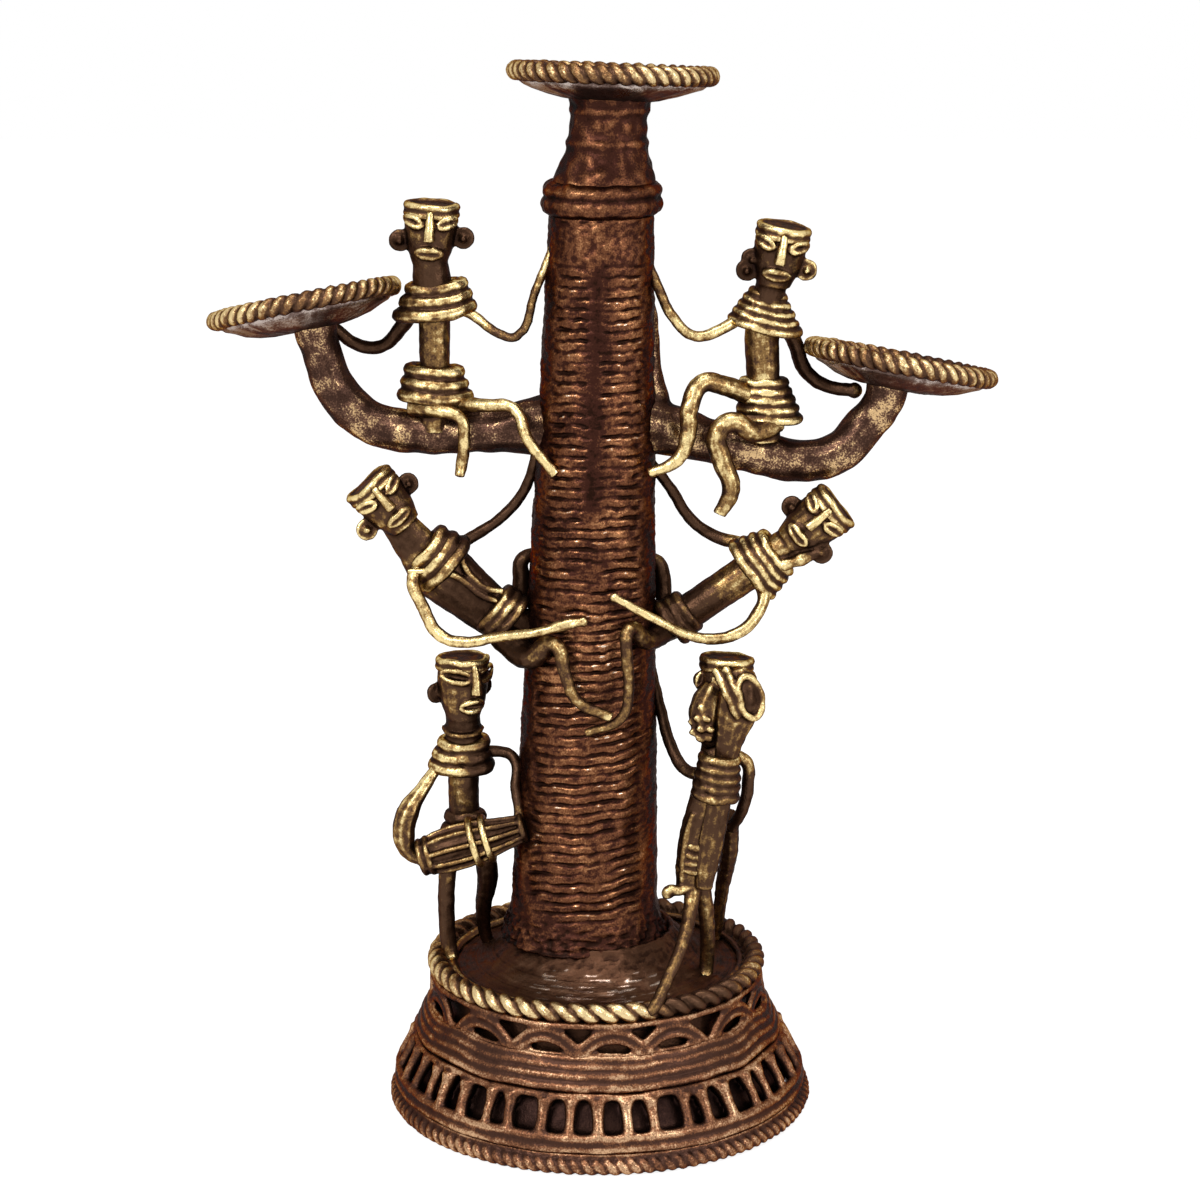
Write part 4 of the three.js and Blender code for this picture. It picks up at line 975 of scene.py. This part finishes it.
            [(-1.5, -2, 33, 2.8), (0.8, 0, 19, 2.3), (1, 3, 1, 2.2), (0.5, 1.5, -1.4, 2.1)],
        ],
        "arms": {
            "trunk": [(2, 0, 62, 2.2), (-5, 5, 61, 1.9), (-9.5, 10, 67, 1.8), (-12.5, 14, 77, 1.7),
                      (-16, 17, 91, 1.7)],
            "side": [(6, 1, 66, 2.2), (11, 0, 66, 2.0), (12.5, 2, 58, 1.9), (11, 5, 49, 1.9),
                     (8.5, 9, 43, 1.8)],
        },
    },
}
head = {"girths": [4.8, 6.7, 7.5, 6.7], "depth": 0.9}  # from chin to crown
woundDepth = 0.72  # shawls and loincloths are this deep for their width, where a figure doesn't say
headband = {"height": 4.0, "reach": 8.0, "wire": 1.2, "above": 0.6}
ear = {"radius": 3.2, "wire": 0.72, "lobe": 0.9}
figureVoxel = {"body": 0.42, "wound": 0.4, "arm": 0.42, "drum": 0.36, "prop": 0.38}
face = {
    "eye": {"side": 4.7, "height": 0.75, "halfWidth": 2.7, "halfHeight": 1.15, "wire": 0.85},
    "nose": {"top": 0.93, "tip": 0.45, "wires": (1.15, 1.35, 1.75)},
    "mouth": {"height": 0.24, "halfWidth": 4.0, "gap": 1.05, "wire": 0.9},
}


def shifted(route, spot):
    return [(x + spot[0], y + spot[1], z + spot[2], *rest) for x, y, z, *rest in route]


# Darkened places, in part painted shade under the chin, behind the figure and where it meets the trunk or
# branch, are written (x, y, z, reach, amount) from the figure's spot, and fade out to their reach
def figureDarkSpots(figure):
    def darkeningAndPaintedLight(spots):
        amount = numpy.zeros(len(spots))
        for x, y, z, reach, depth in figure["darkeningAndPaintedLight"]:
            centre = numpy.array(figure["spot"]) + (x, y, z)
            away = numpy.linalg.norm(spots - centre, axis=1) / reach
            amount = numpy.maximum(amount, depth * ((1 - away) * 2.5).clip(0, 1))
        return amount
    return darkeningAndPaintedLight


# Fuses a part of a figure. What faces forward and up is painted lighter, partly as rubbed wear and partly as
# painted light, and its back nearly as much.
def finishFigure(piece, node, figure, voxel, rough, slot="rubbed_brass", darkening=True):
    made = fused(piece, node, voxel, smooth=1, rough=rough)
    x, y, z = figure["spot"]
    darkeningAndPaintedLight = {"darkeningAndPaintedLight": figureDarkSpots(figure)} if darkening else {}
    settle(made, brass["figure"], slot, (x, y + 180, z - 60), node, behind=0.7, **darkeningAndPaintedLight)


# The head's own directions: up from chin to crown, forward the way it looks, and to its side
def headFrame(figure):
    spot = Vector(figure["spot"])
    chin = Vector(figure["chin"]) + spot
    crown = Vector(figure["crown"]) + spot
    up = (crown - chin).normalized()
    look = Matrix.Rotation(math.radians(figure["facing"]), 3, up) @ Vector((0, -1, 0))
    look = (look - up * look.dot(up)).normalized()
    return chin, crown, up, look, look.cross(up) * -1


# A point on the face: share of the way up from the chin, so far to the side, lifted off the skin
def onFace(figure, share, aside, lift=0.0, radius=0.5):
    chin, crown, _, look, side = headFrame(figure)
    girth = numpy.interp(share * (len(head["girths"]) - 1), range(len(head["girths"])), head["girths"])
    depth = girth * head["depth"] * math.sqrt(max(0.05, 1 - (aside / (girth * 1.12)) ** 2))
    spot = chin + (crown - chin) * share + side * aside + look * (depth + lift)
    return (*spot, radius)


def addFace(piece, figure):
    height = (Vector(figure["crown"]) - Vector(figure["chin"])).length
    eye, nose, mouth = face["eye"], face["nose"], face["mouth"]
    bold = figure.get("bold", 1)
    raised = figure.get("raised", 0)
    wires = []
    lidShape = ((-1, 0.15, 0.6), (-0.5, 0.85, 1), (0.1, 1, 1.1), (0.6, 0.8, 1), (1.05, 0.2, 0.6))
    for hand in (-1, 1):
        for lid in (-1, 1):
            route = []
            for along, bow, size in lidShape:
                rise = (lid * eye["halfHeight"] * bold * bow + 0.7 * along) / height
                aside = hand * (eye["side"] + eye["halfWidth"] * bold * along)
                route.append(onFace(figure, raised + eye["height"] + rise, aside, 0.35, eye["wire"] * size))
            wires.append(route)
    fall = (nose["tip"] - nose["top"]) / 2
    wires.append([onFace(figure, raised + nose["top"] + fall * i, 0, 0.6 + 0.6 * i, size)
                  for i, size in enumerate(nose["wires"])])
    lipShape = ((-1, 0.1, 0.6), (-0.5, 0.85, 1), (0, 1, 1.15), (0.5, 0.85, 1), (1, 0.1, 0.6))
    for lip in (-1, 1):
        bow = lip * mouth["gap"] * bold / height
        wires.append([
            onFace(figure, raised + mouth["height"] + bow * rise, mouth["halfWidth"] * along, 0.5,
                   mouth["wire"] * size)
            for along, rise, size in lipShape
        ])
    addWires(piece, wires, steps=4)


# A ball with a wire ring and a small bead on it
def addEar(piece, centre, look):
    turn = look.to_track_quat("Z", "Y").to_matrix()
    radius = ear["radius"]
    addBall(piece, centre, (radius * 0.82, radius * 0.82, radius * 0.7), turn)
    ring = []
    for i in range(8):
        angle = math.tau * i / 8
        spot = Vector(centre) + turn @ Vector((math.cos(angle), math.sin(angle), 0.35)) * radius * 0.78
        ring.append((*spot, ear["wire"]))
    addWires(piece, [ring], closed=True, steps=3)
    addBall(piece, Vector(centre) + look * radius * 0.75, [ear["lobe"]] * 3)


def makeBody(name, figure):
    spot = figure["spot"]
    chin, crown, _, look, _ = headFrame(figure)
    piece = bmesh.new()
    middle = spot[1] + figure["torso"][1][1]
    torso = [shifted(figure["torso"], spot)]
    addWires(piece, torso, steps=5, sides=8, flat=(middle, figure.get("torsoDepth", 1)))
    addWires(piece, [shifted(cord, spot) for cord in figure.get("cords", [])], steps=4)
    addWires(piece, [shifted(leg, spot) for leg in figure["legs"]], steps=5, sides=4)
    skull = [(*(chin + (crown - chin) * i / 3), girth) for i, girth in enumerate(head["girths"])]
    addWires(piece, [skull], flat=((chin.y + crown.y) / 2, head["depth"]), steps=4, sides=8)
    addFace(piece, figure)
    for centre in shifted(figure["ears"], spot):
        addEar(piece, centre, look)
    finishFigure(piece, name + "_body", figure, figureVoxel["body"], (2.2, 0.14))


# Wires wound around an axis, over a soft core
def addWinding(piece, start, end, radii, count, depth, wire, tilt=0):
    axis = (end - start).normalized()
    height = (end - start).length
    turn = Vector((0, 0, 1)).rotation_difference(axis).to_matrix()
    loops = []
    for row in range(count):
        share = (row + 0.5) / count
        radius = radii[0] + (radii[1] - radii[0]) * share - wire
        loop = []
        for i in range(12):
            angle = math.tau * i / 12
            wander = 0.6 * waver(2 * math.cos(angle), 2 * math.sin(angle), row * 3.1 + start.x)
            wander += tilt * radius * math.cos(angle)
            flatSpot = Vector((radius * math.cos(angle), radius * math.sin(angle) * depth,
                               height * share + wander))
            loop.append((*(start + turn @ flatSpot), wire * (1 + 0.12 * chance.uniform(-1, 1))))
        loops.append(loop)
    addWires(piece, loops, closed=True, steps=4)
    core = [(*(start + axis * height * share), (radii[0] + (radii[1] - radii[0]) * share) - wire * 1.5)
            for share in (0.12, 0.5, 0.88)]
    addWires(piece, [core], flat=((start.y + end.y) / 2, depth), steps=3)


def makeWinding(name, kind, figure):
    spot = Vector(figure["spot"])
    wound = figure[kind]
    start, end = Vector(wound["from"]) + spot, Vector(wound["to"]) + spot
    piece = bmesh.new()
    wire = (end - start).length / wound["count"] * 0.56
    addWinding(piece, start, end, wound["radii"], wound["count"],
               wound.get("depth", woundDepth), wire, wound.get("tilt", 0))
    finishFigure(piece, name + "_" + kind, figure, figureVoxel["wound"], (2.2, 0.16))


def makeHeadband(name, figure):
    _, crown, up, _, _ = headFrame(figure)
    piece = bmesh.new()
    top = crown + up * headband["above"]
    girth = headband["reach"]
    addWinding(piece, top - up * headband["height"], top, (girth, girth), 2, head["depth"], headband["wire"])
    finishFigure(piece, name + "_headband", figure, figureVoxel["wound"], (2.2, 0.14), darkening=False)


def makeArm(name, side, route, figure):
    spot = figure["spot"]
    piece = bmesh.new()
    addWires(piece, [shifted(route, spot)], steps=5)
    x, y, z, radius = shifted(route, spot)[-1]
    addBall(piece, (x, y, z), (radius * 1.15, radius * 0.9, radius * 1.2))
    finishFigure(piece, name + "_" + side + "_arm", figure, figureVoxel["arm"], (2.4, 0.16))


for name, figure in figures.items():
    makeBody(name, figure)
    makeHeadband(name, figure)
    makeWinding(name, "shawl", figure)
    makeWinding(name, "loincloth", figure)
    for side, route in figure["arms"].items():
        makeArm(name, side, route, figure)
    print("figure made:", name)


# Props: the drum on its strap, the horn and the staff

drum = {
    "left": (-12.5, -9, 34.5), "right": (18.5, -9, 44), "length": 31, "lacing": 9, "lace": 0.8,
    "girths": (4.6, 6.2, 6.4, 6.0, 4.6, 3.6),
    "rings": [(0.03, -0.2, 1.0), (0.10, -0.3, 0.9), (0.97, -0.2, 0.9)],  # share along, lift, wire
}
strap = {"share": 0.58, "width": 3.6, "wire": 1.15}
horn = {
    "middle": -24, "flatness": 0.72, "wire": 1.15,
    "route": [(8.6, -8, 95, 1.8), (9.6, -8, 92, 4.6), (9.4, -8, 86.5, 6.2), (8.2, -8, 80.5, 5.8),
              (6.9, -8, 75, 4.3), (5.8, -7.4, 69, 3.3), (5.0, -7.0, 62, 3.2), (3.4, -7.2, 54, 3.7),
              (1.9, -7.2, 45, 3.8), (0.4, -7.2, 36, 3.4), (-0.2, -7.2, 29.5, 2.4)],
    "rim": {"centre": (12.0, -11.2, 87.4), "long": (1.8, 0, -5.9), "short": (3.1, 1.6, 0.9)},
    "ridges": [[(2.2, -7, 94.5, 1.2), (5.6, -12, 88.8, 1.6), (7.9, -12.4, 83.9, 1.5), (8.8, -12, 81.4, 1.0)],
               [(5.2, -7.6, 95, 1.2), (7.9, -12.4, 90.1, 1.6), (9.6, -12.4, 85.6, 1.3)]],
}
staff = [(8, 12, 45.5, 2.8), (8, 18, 32.5, 2.8), (6.5, 26, 18.5, 2.2), (5, 34, -0.5, 1.7)]


def drumPoint(share, angle=None, lift=0.0):
    spot = Vector(figures["drummer"]["spot"])
    left, right = Vector(drum["left"]) + spot, Vector(drum["right"]) + spot
    along = share * (len(drum["girths"]) - 1)
    before = min(int(along), len(drum["girths"]) - 2)
    girth = drum["girths"][before] + (drum["girths"][before + 1] - drum["girths"][before]) * (along - before)
    middle = left.lerp(right, share)
    if angle is None:
        return middle, girth
    axis = (right - left).normalized()
    forward = Vector((0, -1, 0))
    over = forward.cross(axis).normalized()
    return middle + (forward * math.cos(angle) + over * math.sin(angle)) * (girth + lift), girth


def drumRing(share, lift, wire):
    return [(*drumPoint(share, math.tau * i / 12, lift)[0], wire) for i in range(12)]


def makeDrumBarrel():
    piece = bmesh.new()
    barrel = [(*drumPoint(i / 5)[0], drumPoint(i / 5)[1] - 0.7) for i in range(6)]
    addWires(piece, [barrel], steps=4)
    lacing = []
    for i in range(drum["lacing"]):
        angle = math.tau * (i + 0.3) / drum["lacing"]
        lacing.append([(*drumPoint(share, angle + 0.05 * math.sin(6 * share), -0.35)[0], drum["lace"])
                       for share in (0.02, 0.25, 0.5, 0.75, 0.98)])
    addWires(piece, lacing, steps=4)
    addWires(piece, [drumRing(*ring) for ring in drum["rings"]], closed=True, steps=3)
    finishFigure(piece, "drum", figures["drummer"], figureVoxel["drum"], (2.2, 0.15))


# Two wires round the drum
def makeStrap():
    piece = bmesh.new()
    half = strap["width"] / (2 * drum["length"])
    rings = [drumRing(strap["share"] + half * hand, 0.5, strap["wire"]) for hand in (-1, 1)]
    addWires(piece, rings, closed=True, steps=3)
    finishFigure(piece, "drum_strap", figures["drummer"], figureVoxel["drum"], (3.0, 0.12), darkening=False)


# The horn is flattened where it lies on the player's chest, and its cup opens to one side
def makeHorn():
    spot = figures["horn_player"]["spot"]
    piece = bmesh.new()
    addWires(piece, [shifted(horn["route"], spot)], flat=(horn["middle"], horn["flatness"]), steps=5, sides=4)
    addWires(piece, [shifted(ridge, spot) for ridge in horn["ridges"]], steps=4)
    centre, long, short = (Vector(horn["rim"][key]) for key in ("centre", "long", "short"))
    ring = [centre + long * math.cos(angle) + short * math.sin(angle)
            for angle in (math.tau * i / 12 for i in range(12))]
    addWires(piece, [shifted([(*point, horn["wire"]) for point in ring], spot)], closed=True, steps=3)
    finishProp(piece, "horn")


def finishProp(piece, name):
    finishFigure(piece, name, figures["horn_player"], figureVoxel["prop"], (2.4, 0.25), "patina_brass")


def makeStaff():
    piece = bmesh.new()
    addWires(piece, [shifted(staff, figures["horn_player"]["spot"])], steps=5)
    finishProp(piece, "horn_staff")


makeDrumBarrel()
makeStrap()
makeHorn()
makeStaff()
print("props made")


# Studio: a plain white floor and backdrop, soft lamps, and the camera at the photograph's angle

studio = {
    "paper": "#A8A8A8", "paperGlow": 0.86, "floorSize": 3,
    "camera": {"at": (0, -0.865, 0.3645), "down": 13.84, "lens": 92.88},
    "lamps": [((-0.55, -0.95, 0.85), 0.4, 6.5), ((0.85, -0.75, 0.5), 0.4, 3.0), ((0.1, -0.2, 1.2), 0.5, 4.5)],
    "aim": (0, 0, 0.15),
    "ambient": 0.45,
}


# 1 for a ray that comes straight from the camera, or by way of the metal
def seenNode(tree, *kinds):
    path = addNode(tree, "LightPath")
    seen = path.outputs["Is Camera Ray"]
    for kind in kinds:
        seen = addNode(tree, "Math", {0: seen, 1: path.outputs[kind]}, operation="MAXIMUM").outputs[0]
    return seen


# Matte white backdrop paper: it reads as plain white and takes only a faint shadow
def paperMaterial():
    material = bpy.data.materials.new("backdropPaper")
    material.use_nodes = True
    tree = material.node_tree
    tree.nodes.clear()
    seen = seenNode(tree, "Is Glossy Ray")
    glow = addNode(tree, "Emission", {"Color": (1, 1, 1, 1), "Strength": studio["paperGlow"]})
    matte = addNode(tree, "BsdfDiffuse", {"Color": linearColour(studio["paper"])})
    both = addNode(tree, "AddShader", {0: glow.outputs[0], 1: matte.outputs[0]})
    mix = addNode(tree, "MixShader", {0: seen, 1: matte.outputs[0], 2: both.outputs[0]})
    addNode(tree, "OutputMaterial", {"Surface": mix.outputs[0]})
    return material


def makeStudio():
    sheet = bmesh.new()
    bmesh.ops.create_grid(sheet, x_segments=1, y_segments=1, size=studio["floorSize"])
    floor = makeObject(sheet, "floor")
    floor.data.materials.append(paperMaterial())

    world = bpy.data.worlds.new("studio")
    world.use_nodes = True
    tree = world.node_tree
    tree.nodes.clear()
    seen = seenNode(tree, "Is Glossy Ray", "Is Transmission Ray")
    strength = rampNode(tree, seen, 0, 1, studio["ambient"], 1.0)
    sky = addNode(tree, "Background", {"Color": (1, 1, 1, 1), "Strength": strength})
    addNode(tree, "OutputWorld", {"Surface": sky.outputs[0]})
    bpy.context.scene.world = world

    for place, size, power in studio["lamps"]:
        light = bpy.data.lights.new("softbox", "AREA")
        light.shape = "SQUARE"
        light.size = size
        light.energy = power
        lamp = bpy.data.objects.new("softbox", light)
        lamp.location = place
        lamp.rotation_euler = (Vector(studio["aim"]) - Vector(place)).to_track_quat("-Z", "Y").to_euler()
        bpy.context.scene.collection.objects.link(lamp)

    camera = bpy.data.objects.new("camera", bpy.data.cameras.new("camera"))
    camera.location = studio["camera"]["at"]
    camera.rotation_euler = (math.radians(90 - studio["camera"]["down"]), 0, 0)
    camera.data.sensor_width = 36
    camera.data.lens = studio["camera"]["lens"]
    camera.data.clip_start = 0.01
    bpy.context.scene.collection.objects.link(camera)
    bpy.context.scene.camera = camera
    bpy.context.scene.view_settings.view_transform = "Standard"


makeStudio()
print("studio made")
